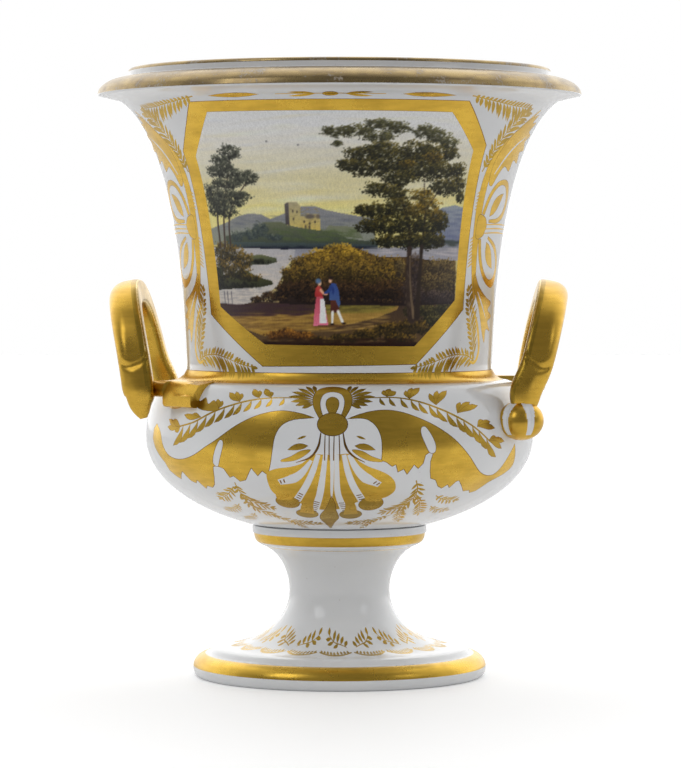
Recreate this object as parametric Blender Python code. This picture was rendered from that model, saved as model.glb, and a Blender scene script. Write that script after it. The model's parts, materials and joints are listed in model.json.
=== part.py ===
"""Campana vase in glazed porcelain: bell and bowl in one, a socle foot and two gilt loop handles."""

import math

import bmesh
import bpy
from mathutils import Vector

# Turned forms
SEGMENTS = 44
WALL = 0.0050
JOINT_GAP = 0.0003
EDGE_ROUND = 0.0008

# Foot, stacked from the table up
FOOT_RADIUS = 0.0771
FOOT_RING_WIDTH = 0.0077
BASE_BEVEL = 0.0029
BASE_EDGE_HEIGHT = 0.0048
BASE_ROLL = 0.0072
FILLET_STEP = 0.0036
FILLET_HEIGHT = 0.0028
FLARE_STEP = 0.0027
FLARE_RISE = 0.0300
STEM_RADIUS = 0.0263
THROAT_RISE = 0.0252
COLLAR_RADIUS = 0.0458
COLLAR_STEP = 0.0042
COLLAR_ROLL = 0.0054
COLLAR_FILLET = 0.0042
FOOT_WALL = 0.0060
COLLAR_FLOOR = 0.0080

# Bowl and shoulder
BOWL_DEPTH = 0.0514
SHOULDER_RISE = 0.0300
SHOULDER_SWELL = 0.0137
BOWL_FLOOR = 0.0060

# Neck, bell and mouth
NECK_RADIUS = 0.0800
COVE_REACH = 0.0080
COVE_RISE = 0.0076
BELL_HEIGHT = 0.1378
BELL_FLARE = 0.0345
BELL_LOW_HANDLE = (0.33, 0.07)
BELL_HIGH_HANDLE = (0.86, 0.25)
LIP_OVERHANG = 0.0123
LIP_UNDERCUT = 0.0036
LIP_SLOPE = 0.0088
LIP_WIDTH = 0.0160
MOUTH_RING_HEIGHT = 0.0048
MOUTH_RING_WIDTH = 0.0052
MOUTH_ROUND = 0.0018
MOUTH_FLAT = 0.0018

# Handles: a leaning loop with a bud at one end and a strap along the shoulder at the other
LOOP_HALF_SPAN = 0.0500
LOOP_RISE = 0.0754
LOOP_SPRING = 0.0260
LOOP_SQUARENESS = 2.6
LOOP_REACH = 0.0098
BUD_LEAN = 0.85
STRAP_LEAN = 1.6
STRAND_WIDTH = 0.0164
STRAND_DEPTH = 0.0130
STRAND_SIDES = 12
ARCH_STEPS = 14
KNUCKLE_PINCH = 0.10
BUD_RADIUS = 0.0120
BUD_HALF_HEIGHT = 0.0102
BUD_RISE = 0.0108
BUD_STANDOFF = 0.0064
STRAP_STANDOFF = 0.0098
STRAP_TIP_RISE = 0.0115
STRAP_BEND_RISE = 0.0260
ARM_LENGTH = 0.0330
ARM_OVERLAP = 0.0030
ARM_HEIGHT = 0.0082
ARM_END_DROP = 0.0050
ARM_STANDOFF = 0.0052
ARM_END_STANDOFF = 0.0018
ARM_THICKNESS = 0.0160
ARM_BEVEL = 0.0026

PORCELAIN = (0.84, 0.86, 0.88, 1.0)
FOOT_PORCELAIN = (0.80, 0.83, 0.86, 1.0)
GOLD = (0.56, 0.39, 0.07, 1.0)

BOWL_RADIUS = NECK_RADIUS + COVE_REACH + SHOULDER_SWELL
COLLAR_LEVEL = BASE_EDGE_HEIGHT + BASE_ROLL + FILLET_HEIGHT + FLARE_RISE + THROAT_RISE
FOOT_HEIGHT = COLLAR_LEVEL + COLLAR_ROLL + COLLAR_FILLET


def arc(centre, radii, start, end, steps):
    """Points of an elliptical arc in the (radius, height) plane, angles in degrees."""
    points = []
    for step in range(steps + 1):
        angle = math.radians(start + (end - start) * step / steps)
        points.append((centre[0] + radii[0] * math.cos(angle), centre[1] + radii[1] * math.sin(angle)))
    return points


def bezier(ends, handles, s):
    """A point on a cubic curve from the first end to the second."""
    weights = ((1 - s) ** 3, 3 * (1 - s) ** 2 * s, 3 * (1 - s) * s ** 2, s ** 3)
    controls = (ends[0], handles[0], handles[1], ends[1])
    return tuple(sum(w * p[axis] for w, p in zip(weights, controls)) for axis in (0, 1))


def body_levels():
    """Heights of the body's main stations, stacked from the joint with the collar."""
    level = {"base": FOOT_HEIGHT + JOINT_GAP}
    level["widest"] = level["base"] + BOWL_DEPTH * math.sqrt(1 - (COLLAR_RADIUS / BOWL_RADIUS) ** 2)
    level["shoulder"] = level["widest"] + SHOULDER_RISE
    level["neck"] = level["shoulder"] + COVE_RISE
    level["edge"] = level["neck"] + BELL_HEIGHT + LIP_UNDERCUT
    level["ring"] = level["edge"] + LIP_SLOPE
    level["top"] = level["ring"] + MOUTH_RING_HEIGHT
    return level


def bell_curve(neck, radius, steps):
    """The bell from the neck to the lip: nearly straight at first, then flaring out."""
    points = []
    for step in range(steps + 1):
        rise, flare = bezier(((0, 0), (1, 1)), (BELL_LOW_HANDLE, BELL_HIGH_HANDLE), step / steps)
        points.append((radius + flare * BELL_FLARE, neck + rise * BELL_HEIGHT))
    return points


def outer_body(level):
    """The body's outer side, from the joint with the collar up to the top of the mouth ring."""
    base_angle = -math.degrees(math.acos(COLLAR_RADIUS / BOWL_RADIUS))
    shoulder = BOWL_RADIUS - SHOULDER_SWELL
    edge = NECK_RADIUS + BELL_FLARE + LIP_OVERHANG
    ring = edge - LIP_WIDTH
    points = arc((0, level["widest"]), (BOWL_RADIUS, BOWL_DEPTH), base_angle, 0, 7)
    points += arc((shoulder, level["widest"]), (SHOULDER_SWELL, SHOULDER_RISE), 0, 90, 6)[1:]
    points += arc((shoulder, level["neck"]), (COVE_REACH, COVE_RISE), -90, -180, 3)[1:]
    points += bell_curve(level["neck"], NECK_RADIUS, 9)[1:]
    points += [(edge - EDGE_ROUND, level["edge"] - EDGE_ROUND), (edge, level["edge"])]
    points += arc((ring, level["edge"]), (edge - ring, LIP_SLOPE), 30, 90, 3)
    points += [(ring, level["top"] - MOUTH_ROUND), (ring - MOUTH_ROUND, level["top"])]
    return points


def inner_body(level):
    """The body's inner side, from the mouth down to the bottom of the bowl."""
    ring = NECK_RADIUS + BELL_FLARE + LIP_OVERHANG - LIP_WIDTH
    mouth = ring - MOUTH_RING_WIDTH
    shoulder = BOWL_RADIUS - SHOULDER_SWELL - WALL
    bell = [point for point in bell_curve(level["neck"], NECK_RADIUS - WALL, 7) if point[0] < mouth - WALL / 2]
    points = [(ring - MOUTH_ROUND - MOUTH_FLAT, level["top"]), (mouth, level["ring"])]
    points += list(reversed(bell))
    points += arc((shoulder, level["neck"]), (COVE_REACH, COVE_RISE + WALL), -180, -90, 2)[1:]
    points += arc((shoulder, level["widest"]), (SHOULDER_SWELL, SHOULDER_RISE - WALL), 90, 0, 4)[1:]
    depth = level["widest"] - level["base"] - BOWL_FLOOR
    points += arc((0, level["widest"]), (BOWL_RADIUS - WALL, depth), 0, -90, 5)[1:]
    return points


def outer_foot():
    """The foot's outer side, from the table up to the joint with the body."""
    roll = FOOT_RADIUS - BASE_ROLL
    fillet = BASE_EDGE_HEIGHT + BASE_ROLL
    ridge = fillet + FILLET_HEIGHT
    stem = ridge + FLARE_RISE
    flare = roll - FILLET_STEP - FLARE_STEP
    throat = COLLAR_RADIUS - COLLAR_STEP
    points = arc((FOOT_RADIUS - BASE_BEVEL, BASE_EDGE_HEIGHT), (BASE_BEVEL, BASE_EDGE_HEIGHT), -90, 0, 3)
    points += arc((roll, BASE_EDGE_HEIGHT), (BASE_ROLL, BASE_ROLL), 0, 90, 4)[1:]
    points += [(roll - FILLET_STEP / 2, fillet + EDGE_ROUND), (roll - FILLET_STEP, ridge - EDGE_ROUND / 2),
               (flare + FLARE_STEP / 2, ridge)]
    points += arc((flare, stem), (flare - STEM_RADIUS, FLARE_RISE - EDGE_ROUND), -92, -180, 6)
    points += arc((throat + COLLAR_STEP, stem), (COLLAR_RADIUS - STEM_RADIUS, THROAT_RISE), 180, 104, 5)[1:]
    points += arc((throat, COLLAR_LEVEL + COLLAR_ROLL), (COLLAR_STEP - EDGE_ROUND, COLLAR_ROLL), -60, 0, 3)
    points += [(COLLAR_RADIUS, COLLAR_LEVEL + COLLAR_ROLL + EDGE_ROUND / 2), (COLLAR_RADIUS, FOOT_HEIGHT)]
    return points


def inner_foot():
    """The foot's hollow, from the ring that it stands on up to the dome under the collar."""
    ring = FOOT_RADIUS - BASE_BEVEL - FOOT_RING_WIDTH
    ridge = BASE_EDGE_HEIGHT + BASE_ROLL + FILLET_HEIGHT
    bore = STEM_RADIUS - FOOT_WALL
    dome = FOOT_HEIGHT - COLLAR_FLOOR - bore / 2
    points = [(ring, 0), (ring, BASE_EDGE_HEIGHT)]
    points += arc((ring, ridge + FLARE_RISE), (ring - bore, FLARE_RISE + FOOT_WALL), 250, 180, 5)
    points += arc((0, dome), (bore, bore / 2), 0, 90, 3)
    return points


def offset(points, gap):
    """An outline moved outwards by a gap, along its own normals."""
    moved = []
    for i, (radius, height) in enumerate(points):
        before = points[max(i - 1, 0)]
        after = points[min(i + 1, len(points) - 1)]
        run, rise = after[0] - before[0], after[1] - before[1]
        length = math.hypot(run, rise)
        moved.append((radius + gap * rise / length, height - gap * run / length))
    return moved


def radius_at(outline, height):
    """Radius of a turned outline at a height, by straight lines between its points."""
    for (r0, z0), (r1, z1) in zip(outline, outline[1:]):
        if z0 <= height <= z1:
            return r0 + (r1 - r0) * (height - z0) / (z1 - z0)
    return outline[-1][0]


def link(name, mesh):
    obj = bpy.data.objects.new(name, mesh)
    bpy.context.scene.collection.objects.link(obj)
    mesh.shade_smooth()
    mesh.set_sharp_from_angle(angle=math.radians(40))
    return obj


def turned(name, points):
    """A closed solid turned about Z from an outline that starts and ends on the axis, or closes on itself."""
    mesh = bpy.data.meshes.new(name)
    bm = bmesh.new()
    verts = [bm.verts.new((radius, 0, height)) for radius, height in points]
    edges = [bm.edges.new(pair) for pair in zip(verts, verts[1:])]
    bmesh.ops.spin(bm, geom=verts + edges, cent=(0, 0, 0), axis=(0, 0, 1), angle=math.tau,
                   steps=SEGMENTS, use_merge=True)
    bmesh.ops.remove_doubles(bm, verts=bm.verts, dist=0.00002)
    bmesh.ops.recalc_face_normals(bm, faces=bm.faces)
    bm.to_mesh(mesh)
    bm.free()
    return link(name, mesh)


def swept(name, rings):
    """A solid through closed rings of points, with filled ends."""
    mesh = bpy.data.meshes.new(name)
    bm = bmesh.new()
    loops = [[bm.verts.new(point) for point in ring] for ring in rings]
    for loop, following in zip(loops, loops[1:]):
        for i in range(len(loop)):
            j = (i + 1) % len(loop)
            bm.faces.new((loop[i], loop[j], following[j], following[i]))
    bm.faces.new(reversed(loops[0]))
    bm.faces.new(loops[-1])
    bmesh.ops.recalc_face_normals(bm, faces=bm.faces)
    bm.to_mesh(mesh)
    bm.free()
    return link(name, mesh)


def end_places(level, outline):
    """Distances from the vase's middle plane of the bud's centre and of the strap's tip and bend."""
    places = {}
    for name, rise, standoff in (("bud", BUD_RISE, BUD_STANDOFF), ("tip", STRAP_TIP_RISE, STRAP_STANDOFF)):
        radius = radius_at(outline, level["widest"] + rise) + standoff
        places[name] = math.sqrt(radius ** 2 - LOOP_HALF_SPAN ** 2)
    places["bend"] = places["tip"] + ARM_END_STANDOFF
    return places


def loop_centre_line(level, outline):
    """Points and widths of the loop, from the bud at the front over the arch to the strap's tip."""
    place = end_places(level, outline)
    spring = level["widest"] + LOOP_SPRING
    top = level["widest"] + LOOP_RISE
    bud = level["widest"] + BUD_RISE
    tip = level["widest"] + STRAP_TIP_RISE
    reach = BOWL_RADIUS + LOOP_REACH
    stations = []
    for share, width in ((0.2, 0.5), (0.5, 0.85), (0.8, 0.97)):
        height = bud + (spring - bud) * share
        lean = ((height - bud) / (top - bud)) ** BUD_LEAN
        stations.append((Vector((place["bud"] + (reach - place["bud"]) * lean, -LOOP_HALF_SPAN, height)), width))
    for step in range(ARCH_STEPS + 1):
        angle = math.pi * step / ARCH_STEPS
        side = math.copysign(abs(math.cos(angle)) ** (2 / LOOP_SQUARENESS), math.cos(angle))
        height = spring + (top - spring) * max(math.sin(angle), 0) ** (2 / LOOP_SQUARENESS)
        front = step < ARCH_STEPS / 2
        end, start, power = (place["bud"], bud, BUD_LEAN) if front else (place["bend"], tip, STRAP_LEAN)
        lean = ((height - start) / (top - start)) ** power
        width = 1 - KNUCKLE_PINCH if step in (1, ARCH_STEPS - 1) else 1
        stations.append((Vector((end + (reach - end) * lean, -LOOP_HALF_SPAN * side, height)), width))
    for share, end, width in ((0.9, "bend", 0.97), (0.5, "bend", 0.7), (0, "tip", 0.26)):
        stations.append((Vector((place[end], LOOP_HALF_SPAN, tip + (spring - tip) * share)), width))
    return stations


def strand_section(centre, along, width, depth):
    """A ring of the strand: round on its outer side and flatter towards the vase."""
    outward = Vector((1, 0, -0.2))
    outward = (outward - along * outward.dot(along)).normalized()
    across = along.cross(outward).normalized()
    ring = []
    for side in range(STRAND_SIDES):
        angle = math.tau * (side + 0.5) / STRAND_SIDES
        power = 1.0 if math.cos(angle) > 0 else 0.5
        reach = math.copysign(abs(math.cos(angle)) ** power, math.cos(angle)) * width / 2
        spread = math.copysign(abs(math.sin(angle)) ** power, math.sin(angle)) * depth / 2
        ring.append(centre + outward * reach + across * spread)
    return ring


def loop_rings(stations):
    rings = []
    points = [point for point, width in stations]
    for i, (point, width) in enumerate(stations):
        along = (points[min(i + 1, len(points) - 1)] - points[max(i - 1, 0)]).normalized()
        rings.append(strand_section(point, along, STRAND_WIDTH * width, STRAND_DEPTH * width))
    return rings


def arm_rings(level, outline):
    """The strap's arm: it leaves the loop's back leg and follows the shoulder round."""
    top = level["shoulder"] + EDGE_ROUND
    tip_radius = radius_at(outline, level["widest"] + STRAP_TIP_RISE) + STRAP_STANDOFF
    start = math.asin(LOOP_HALF_SPAN / tip_radius) - ARM_OVERLAP / BOWL_RADIUS
    sweep = (ARM_LENGTH + ARM_OVERLAP) / BOWL_RADIUS
    rings = []
    for share in (0, 0.17, 0.34, 0.42, 0.62, 0.82, 1):
        angle = start + sweep * share
        bottom = top - ARM_HEIGHT - (ARM_END_DROP if share > 0.4 else 0)
        outer = BOWL_RADIUS + ARM_STANDOFF + (ARM_END_STANDOFF - ARM_STANDOFF) * share
        inner = outer - ARM_THICKNESS
        corners = ((inner, top), (outer - ARM_BEVEL, top), (outer, top - ARM_BEVEL),
                   (outer, bottom + ARM_BEVEL), (outer - ARM_BEVEL, bottom), (inner, bottom))
        rings.append([Vector((radius * math.cos(angle), radius * math.sin(angle), z)) for radius, z in corners])
    return rings


def bud(name, level, outline):
    """The bud that the loop's front leg stands on, half sunk in the shoulder."""
    centre = (end_places(level, outline)["bud"], -LOOP_HALF_SPAN, level["widest"] + BUD_RISE)
    mesh = bpy.data.meshes.new(name)
    bm = bmesh.new()
    bmesh.ops.create_uvsphere(bm, u_segments=14, v_segments=9, radius=BUD_RADIUS)
    bmesh.ops.scale(bm, verts=bm.verts, vec=(1, 1, BUD_HALF_HEIGHT / BUD_RADIUS))
    bmesh.ops.translate(bm, verts=bm.verts, vec=centre)
    bm.to_mesh(mesh)
    bm.free()
    return link(name, mesh)


def hide_helper(obj):
    obj.hide_render = True
    obj.display_type = "WIRE"


def boolean(target, other, operation):
    modifier = target.modifiers.new(operation.lower() + "_" + other.name, "BOOLEAN")
    modifier.object = other
    modifier.operation = operation
    modifier.solver = "EXACT"


def handle(name, turn, level, outline, envelope, mat):
    """One gilt handle, fitted to the body and turned about the vase's axis into its place."""
    obj = swept(name, loop_rings(loop_centre_line(level, outline)))
    helpers = (swept(name + "_arm", arm_rings(level, outline)), bud(name + "_bud", level, outline))
    obj.rotation_euler.z = turn
    for helper in helpers:
        helper.rotation_euler.z = turn
        hide_helper(helper)
        boolean(obj, helper, "UNION")
    boolean(obj, envelope, "DIFFERENCE")
    obj.data.materials.append(mat)


def material(name, colour, roughness, metallic):
    mat = bpy.data.materials.new(name)
    mat.use_nodes = True
    shader = mat.node_tree.nodes["Principled BSDF"]
    shader.inputs["Base Color"].default_value = colour
    shader.inputs["Roughness"].default_value = roughness
    shader.inputs["Metallic"].default_value = metallic
    return mat


def main():
    for obj in list(bpy.data.objects):
        bpy.data.objects.remove(obj)
    level = body_levels()
    outline = outer_body(level)
    body = turned("body", [(0, level["base"])] + outline + inner_body(level))
    body.data.materials.append(material("body_porcelain", PORCELAIN, 0.12, 0.0))
    foot = turned("foot", [(0, FOOT_HEIGHT)] + list(reversed(outer_foot())) + inner_foot())
    foot.data.materials.append(material("foot_porcelain", FOOT_PORCELAIN, 0.12, 0.0))
    skin = [(0, level["base"] - JOINT_GAP)] + offset(outline, JOINT_GAP) + [(0, level["top"] + JOINT_GAP)]
    envelope = turned("body_envelope", skin)
    hide_helper(envelope)
    for side, turn in (("right", 0.0), ("left", math.pi)):
        gilding = material(side + "_gilding", GOLD, 0.32, 1.0)
        handle("handle_" + side, turn, level, outline, envelope, gilding)


main()
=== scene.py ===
import json
import math
import random

import bmesh
import bpy
import numpy as np
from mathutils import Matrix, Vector
from mathutils.geometry import delaunay_2d_cdt
from mathutils.kdtree import KDTree

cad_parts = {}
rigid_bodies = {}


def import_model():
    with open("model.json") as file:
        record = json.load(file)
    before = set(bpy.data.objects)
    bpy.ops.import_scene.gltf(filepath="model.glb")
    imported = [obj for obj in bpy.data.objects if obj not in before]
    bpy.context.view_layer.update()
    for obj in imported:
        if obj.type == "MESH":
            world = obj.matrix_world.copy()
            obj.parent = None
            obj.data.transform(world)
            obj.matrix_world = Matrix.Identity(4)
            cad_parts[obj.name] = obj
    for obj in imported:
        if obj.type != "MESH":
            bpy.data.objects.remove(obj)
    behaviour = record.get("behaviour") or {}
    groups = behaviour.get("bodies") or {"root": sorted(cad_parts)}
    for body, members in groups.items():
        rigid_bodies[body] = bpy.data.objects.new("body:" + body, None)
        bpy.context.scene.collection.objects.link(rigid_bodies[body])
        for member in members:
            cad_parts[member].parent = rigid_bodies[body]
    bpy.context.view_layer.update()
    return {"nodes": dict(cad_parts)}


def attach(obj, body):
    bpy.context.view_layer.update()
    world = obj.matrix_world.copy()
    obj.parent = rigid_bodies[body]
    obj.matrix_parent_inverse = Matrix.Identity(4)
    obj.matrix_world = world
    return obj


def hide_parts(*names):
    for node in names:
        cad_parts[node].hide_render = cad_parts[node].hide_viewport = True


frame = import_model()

scene = bpy.context.scene
print("frame loaded:", sorted(frame["nodes"]))


# Camera, a little above the bowl and just right of the panel's middle
viewpoint = {"azimuth": 2.3, "distance": 1.789, "height": 0.2124, "aimHeight": 0.1534, "aimShift": 0.00053,
             "sensor": 36.0, "lens": 159.375}


def placeCamera(view):
    turn = math.radians(view["azimuth"])
    lens = bpy.data.cameras.new("studioCamera")
    lens.sensor_width = view["sensor"]
    lens.lens = view["lens"]
    lens.clip_start, lens.clip_end = 0.05, 60.0
    camera = bpy.data.objects.new("studioCamera", lens)
    scene.collection.objects.link(camera)
    camera.location = (view["distance"] * math.sin(turn), -view["distance"] * math.cos(turn), view["height"])
    aim = Vector((view["aimShift"] * math.cos(turn), view["aimShift"] * math.sin(turn), view["aimHeight"]))
    camera.rotation_euler = (aim - camera.location).to_track_quat("-Z", "Y").to_euler()
    scene.camera = camera


# Shader nodes: a number or colour is set on its socket, anything else is linked to it
def feed(tree, socket, value):
    if isinstance(value, (int, float, tuple)):
        socket.default_value = value
    else:
        tree.links.new(value, socket)


def splitPlace(tree, kind):
    coordinates = tree.nodes.new("ShaderNodeTexCoord")
    split = tree.nodes.new("ShaderNodeSeparateXYZ")
    tree.links.new(coordinates.outputs[kind], split.inputs[0])
    return split.outputs


def noiseNode(tree, scale, detail=3.0, roughness=0.5, stretch=None):
    coordinates = tree.nodes.new("ShaderNodeTexCoord")
    noise = tree.nodes.new("ShaderNodeTexNoise")
    for title, value in (("Scale", scale), ("Detail", detail), ("Roughness", roughness)):
        noise.inputs[title].default_value = value
    place = coordinates.outputs["Object"]
    if stretch:
        mapping = tree.nodes.new("ShaderNodeMapping")
        mapping.inputs["Scale"].default_value = stretch
        tree.links.new(place, mapping.inputs["Vector"])
        place = mapping.outputs["Vector"]
    tree.links.new(place, noise.inputs["Vector"])
    return noise.outputs["Fac"]


def rangeNode(tree, value, low, high, outLow=0.0, outHigh=1.0):
    node = tree.nodes.new("ShaderNodeMapRange")
    for title, given in (("Value", value), ("From Min", low), ("From Max", high), ("To Min", outLow),
                         ("To Max", outHigh)):
        feed(tree, node.inputs[title], given)
    return node.outputs["Result"]


def mathNode(tree, operation, first, second):
    node = tree.nodes.new("ShaderNodeMath")
    node.operation = operation
    for socket, value in zip(node.inputs, (first, second)):
        feed(tree, socket, value)
    return node.outputs["Value"]


def addShare(tree, first, second, share):
    return mathNode(tree, "ADD", first, mathNode(tree, "MULTIPLY", second, share))


def mixNode(tree, factor, first, second):
    node = tree.nodes.new("ShaderNodeMix")
    node.data_type = "RGBA"
    for title, kind, value in (("Factor", "VALUE", factor), ("A", "RGBA", first), ("B", "RGBA", second)):
        feed(tree, [s for s in node.inputs if s.name == title and s.type == kind][0], value)
    return [s for s in node.outputs if s.type == "RGBA"][0]


# Studio: white behind and at the sides, a dim room in front, so that the gilding reads olive and the rims stay white
studio = {"farLight": 1.45, "nearLight": 0.2, "skyLight": 1.1, "backdrop": 1.0, "turnFrom": -0.3, "turnTo": 0.6,
          "floorRadius": 7.0, "floorColour": (0.93, 0.93, 0.93, 1.0), "floorGlow": 0.22, "floorFrontShade": 0.10,
          "floorShadeFrom": -0.95, "floorShadeTo": -0.25, "floorBackShade": 0.9,
          "floorCloud": (0.95, 0.95, 0.95, 1.0),
          "riseFrom": 0.2, "riseTo": 1.0, "white": (1.0, 1.0, 1.0, 1.0), "windowShape": 1.4, "aim": (0, 0, 0.17),
          "windows": {"keyWindow": {"place": (-1.5, -1.4, 1.7), "size": 0.9, "power": 6.0, "mirrored": True},
                      "fillWindow": {"place": (1.9, -1.0, 1.2), "size": 0.6, "power": 1.6, "mirrored": True},
                      "frontCloth": {"place": (0.1, -3.4, 1.3), "size": 3.4, "power": 36.0, "mirrored": False}}}


def hangWindow(name, window, settings):
    light = bpy.data.lights.new(name, "AREA")
    light.shape = "RECTANGLE"
    light.size, light.size_y = window["size"], window["size"] * settings["windowShape"]
    light.energy = window["power"]
    lamp = bpy.data.objects.new(name, light)
    scene.collection.objects.link(lamp)
    lamp.location = window["place"]
    lamp.rotation_euler = (Vector(settings["aim"]) - Vector(window["place"])).to_track_quat("-Z", "Y").to_euler()
    lamp.visible_glossy = window["mirrored"]
    lamp.visible_camera = False


def lightStudio(settings):
    world = bpy.data.worlds.new("softRoom")
    scene.world = world
    world.use_nodes = True
    tree = world.node_tree
    room, place = tree.nodes["Background"], splitPlace(tree, "Generated")
    depth = rangeNode(tree, place["Y"], settings["turnFrom"], settings["turnTo"], settings["nearLight"],
        settings["farLight"])
    rise = rangeNode(tree, place["Z"], settings["riseFrom"], settings["riseTo"], 1.0, settings["skyLight"])
    seen = tree.nodes.new("ShaderNodeMix")
    feed(tree, seen.inputs["Factor"], tree.nodes.new("ShaderNodeLightPath").outputs["Is Camera Ray"])
    feed(tree, seen.inputs["A"], mathNode(tree, "MULTIPLY", depth, rise))
    feed(tree, seen.inputs["B"], settings["backdrop"])
    feed(tree, room.inputs["Strength"], seen.outputs["Result"])
    feed(tree, room.inputs["Color"], settings["white"])
    for name, window in settings["windows"].items():
        hangWindow(name, window, settings)
    scene.view_settings.view_transform = "Standard"


placeCamera(viewpoint)
lightStudio(studio)
print("camera and studio light placed")


# Shared effects, each a node group placed in every finish that needs it
def effectGroup(name, inputs, outputs):
    group = bpy.data.node_groups.new(name, "ShaderNodeTree")
    for title, kind, value in inputs:
        socket = group.interface.new_socket(title, in_out="INPUT", socket_type=kind)
        socket.default_value = value
    for title, kind in outputs:
        group.interface.new_socket(title, in_out="OUTPUT", socket_type=kind)
    return group, group.nodes.new("NodeGroupInput"), group.nodes.new("NodeGroupOutput")


def buildGlazeEffect():
    # Milky tint clouds, a few pinholes, and the slow swell of a poured glaze
    group, entry, leave = effectGroup("glazePool",
        [("Tint", "NodeSocketColor", (1, 1, 1, 1)), ("Cloud", "NodeSocketColor", (1, 1, 1, 1)),
         ("Speck", "NodeSocketColor", (0.3, 0.25, 0.2, 1)), ("Speck Amount", "NodeSocketFloat", 0.3)],
        [("Color", "NodeSocketColor"), ("Height", "NodeSocketFloat"), ("Roughness", "NodeSocketFloat")])
    cloud = rangeNode(group, noiseNode(group, 26.0, 4.0), 0.35, 0.7)
    base = mixNode(group, cloud, entry.outputs["Tint"], entry.outputs["Cloud"])
    specks = rangeNode(group, noiseNode(group, 620.0, 1.0), 0.77, 0.82)
    amount = mathNode(group, "MULTIPLY", specks, entry.outputs["Speck Amount"])
    height = addShare(group, noiseNode(group, 42.0, 2.0), noiseNode(group, 260.0, 1.0), 0.12)
    gloss = rangeNode(group, noiseNode(group, 90.0, 3.0), 0.3, 0.75, 0.05, 0.13)
    feed(group, leave.inputs["Color"], mixNode(group, amount, base, entry.outputs["Speck"]))
    feed(group, leave.inputs["Height"], height)
    feed(group, leave.inputs["Roughness"], gloss)
    return group


def buildGildEffect():
    # Gold laid by brush and burnished: streaks, thin places where the brown size shows, and rubbed spots
    group, entry, leave = effectGroup("gildBrush",
        [("Gold", "NodeSocketColor", (0.7, 0.45, 0.08, 1)), ("Thin", "NodeSocketColor", (0.3, 0.16, 0.03, 1)),
         ("Bare", "NodeSocketColor", (0.8, 0.8, 0.8, 1)), ("Thinness", "NodeSocketFloat", 0.4),
         ("Rub", "NodeSocketFloat", 0.2)],
        [("Color", "NodeSocketColor"), ("Height", "NodeSocketFloat"), ("Roughness", "NodeSocketFloat"),
         ("Metallic", "NodeSocketFloat")])
    streak = noiseNode(group, 60.0, 4.0, 0.6, (1.0, 1.0, 7.0))
    patch = noiseNode(group, 55.0, 5.0, 0.62)
    grain = noiseNode(group, 900.0, 2.0, 0.6)
    uneven = rangeNode(group, addShare(group, mathNode(group, "MULTIPLY", streak, 0.5), patch, 0.5), 0.42, 0.68)
    thin = mathNode(group, "MULTIPLY", uneven, entry.outputs["Thinness"])
    start = mathNode(group, "SUBTRACT", 1.17, mathNode(group, "MULTIPLY", entry.outputs["Rub"], 0.42))
    rubbed = rangeNode(group, addShare(group, patch, grain, 0.55), start, mathNode(group, "ADD", start, 0.05))
    laid = mixNode(group, thin, entry.outputs["Gold"], entry.outputs["Thin"])
    metal = mathNode(group, "SUBTRACT", 1.0, mathNode(group, "MULTIPLY", rubbed, 0.95))
    feed(group, leave.inputs["Color"], mixNode(group, rubbed, laid, entry.outputs["Bare"]))
    feed(group, leave.inputs["Metallic"], metal)
    feed(group, leave.inputs["Roughness"], rangeNode(group, addShare(group, patch, grain, 0.3), 0.45,
        0.95, 0.22, 0.4))
    feed(group, leave.inputs["Height"], addShare(group, noiseNode(group, 42.0, 2.0), grain, 0.03))
    return group


glazeEffect = buildGlazeEffect()
gildEffect = buildGildEffect()


def newFinish(name):
    finish = bpy.data.materials.new(name)
    finish.use_nodes = True
    return finish, finish.node_tree, finish.node_tree.nodes["Principled BSDF"]


def placeEffect(tree, effect, values):
    node = tree.nodes.new("ShaderNodeGroup")
    node.node_tree = effect
    for title, value in values.items():
        node.inputs[title].default_value = value
    return node


def bumpFrom(tree, shader, height, distance):
    bump = tree.nodes.new("ShaderNodeBump")
    bump.inputs["Distance"].default_value = distance
    tree.links.new(height, bump.inputs["Height"])
    tree.links.new(bump.outputs["Normal"], shader.inputs["Normal"])


glazeLook = {"tint": (0.80, 0.81, 0.825, 1), "cloud": (0.83, 0.84, 0.85, 1), "footTint": (0.79, 0.80, 0.81, 1),
             "speck": (0.34, 0.27, 0.2, 1), "speckAmount": 0.35, "swell": 0.00022, "ior": 1.52, "coat": 0.25,
             "coatRoughness": 0.04}


def glazeFinish(name, tint):
    finish, tree, shader = newFinish(name)
    effect = placeEffect(tree, glazeEffect, {"Tint": tint, "Cloud": glazeLook["cloud"], "Speck": glazeLook["speck"],
                                             "Speck Amount": glazeLook["speckAmount"]})
    tree.links.new(effect.outputs["Color"], shader.inputs["Base Color"])
    tree.links.new(effect.outputs["Roughness"], shader.inputs["Roughness"])
    for title, value in (("IOR", "ior"), ("Coat Weight", "coat"), ("Coat Roughness", "coatRoughness")):
        shader.inputs[title].default_value = glazeLook[value]
    bumpFrom(tree, shader, effect.outputs["Height"], glazeLook["swell"])
    return finish


def gildFinish(name, gold, thin, thinness, rub, bare=(0.8, 0.8, 0.82, 1)):
    finish, tree, shader = newFinish(name)
    effect = placeEffect(tree, gildEffect, {"Gold": gold, "Thin": thin, "Bare": bare, "Thinness": thinness,
                                            "Rub": rub})
    for title, socket in (("Color", "Base Color"), ("Roughness", "Roughness"), ("Metallic", "Metallic")):
        tree.links.new(effect.outputs[title], shader.inputs[socket])
    bumpFrom(tree, shader, effect.outputs["Height"], glazeLook["swell"])
    return finish


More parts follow.
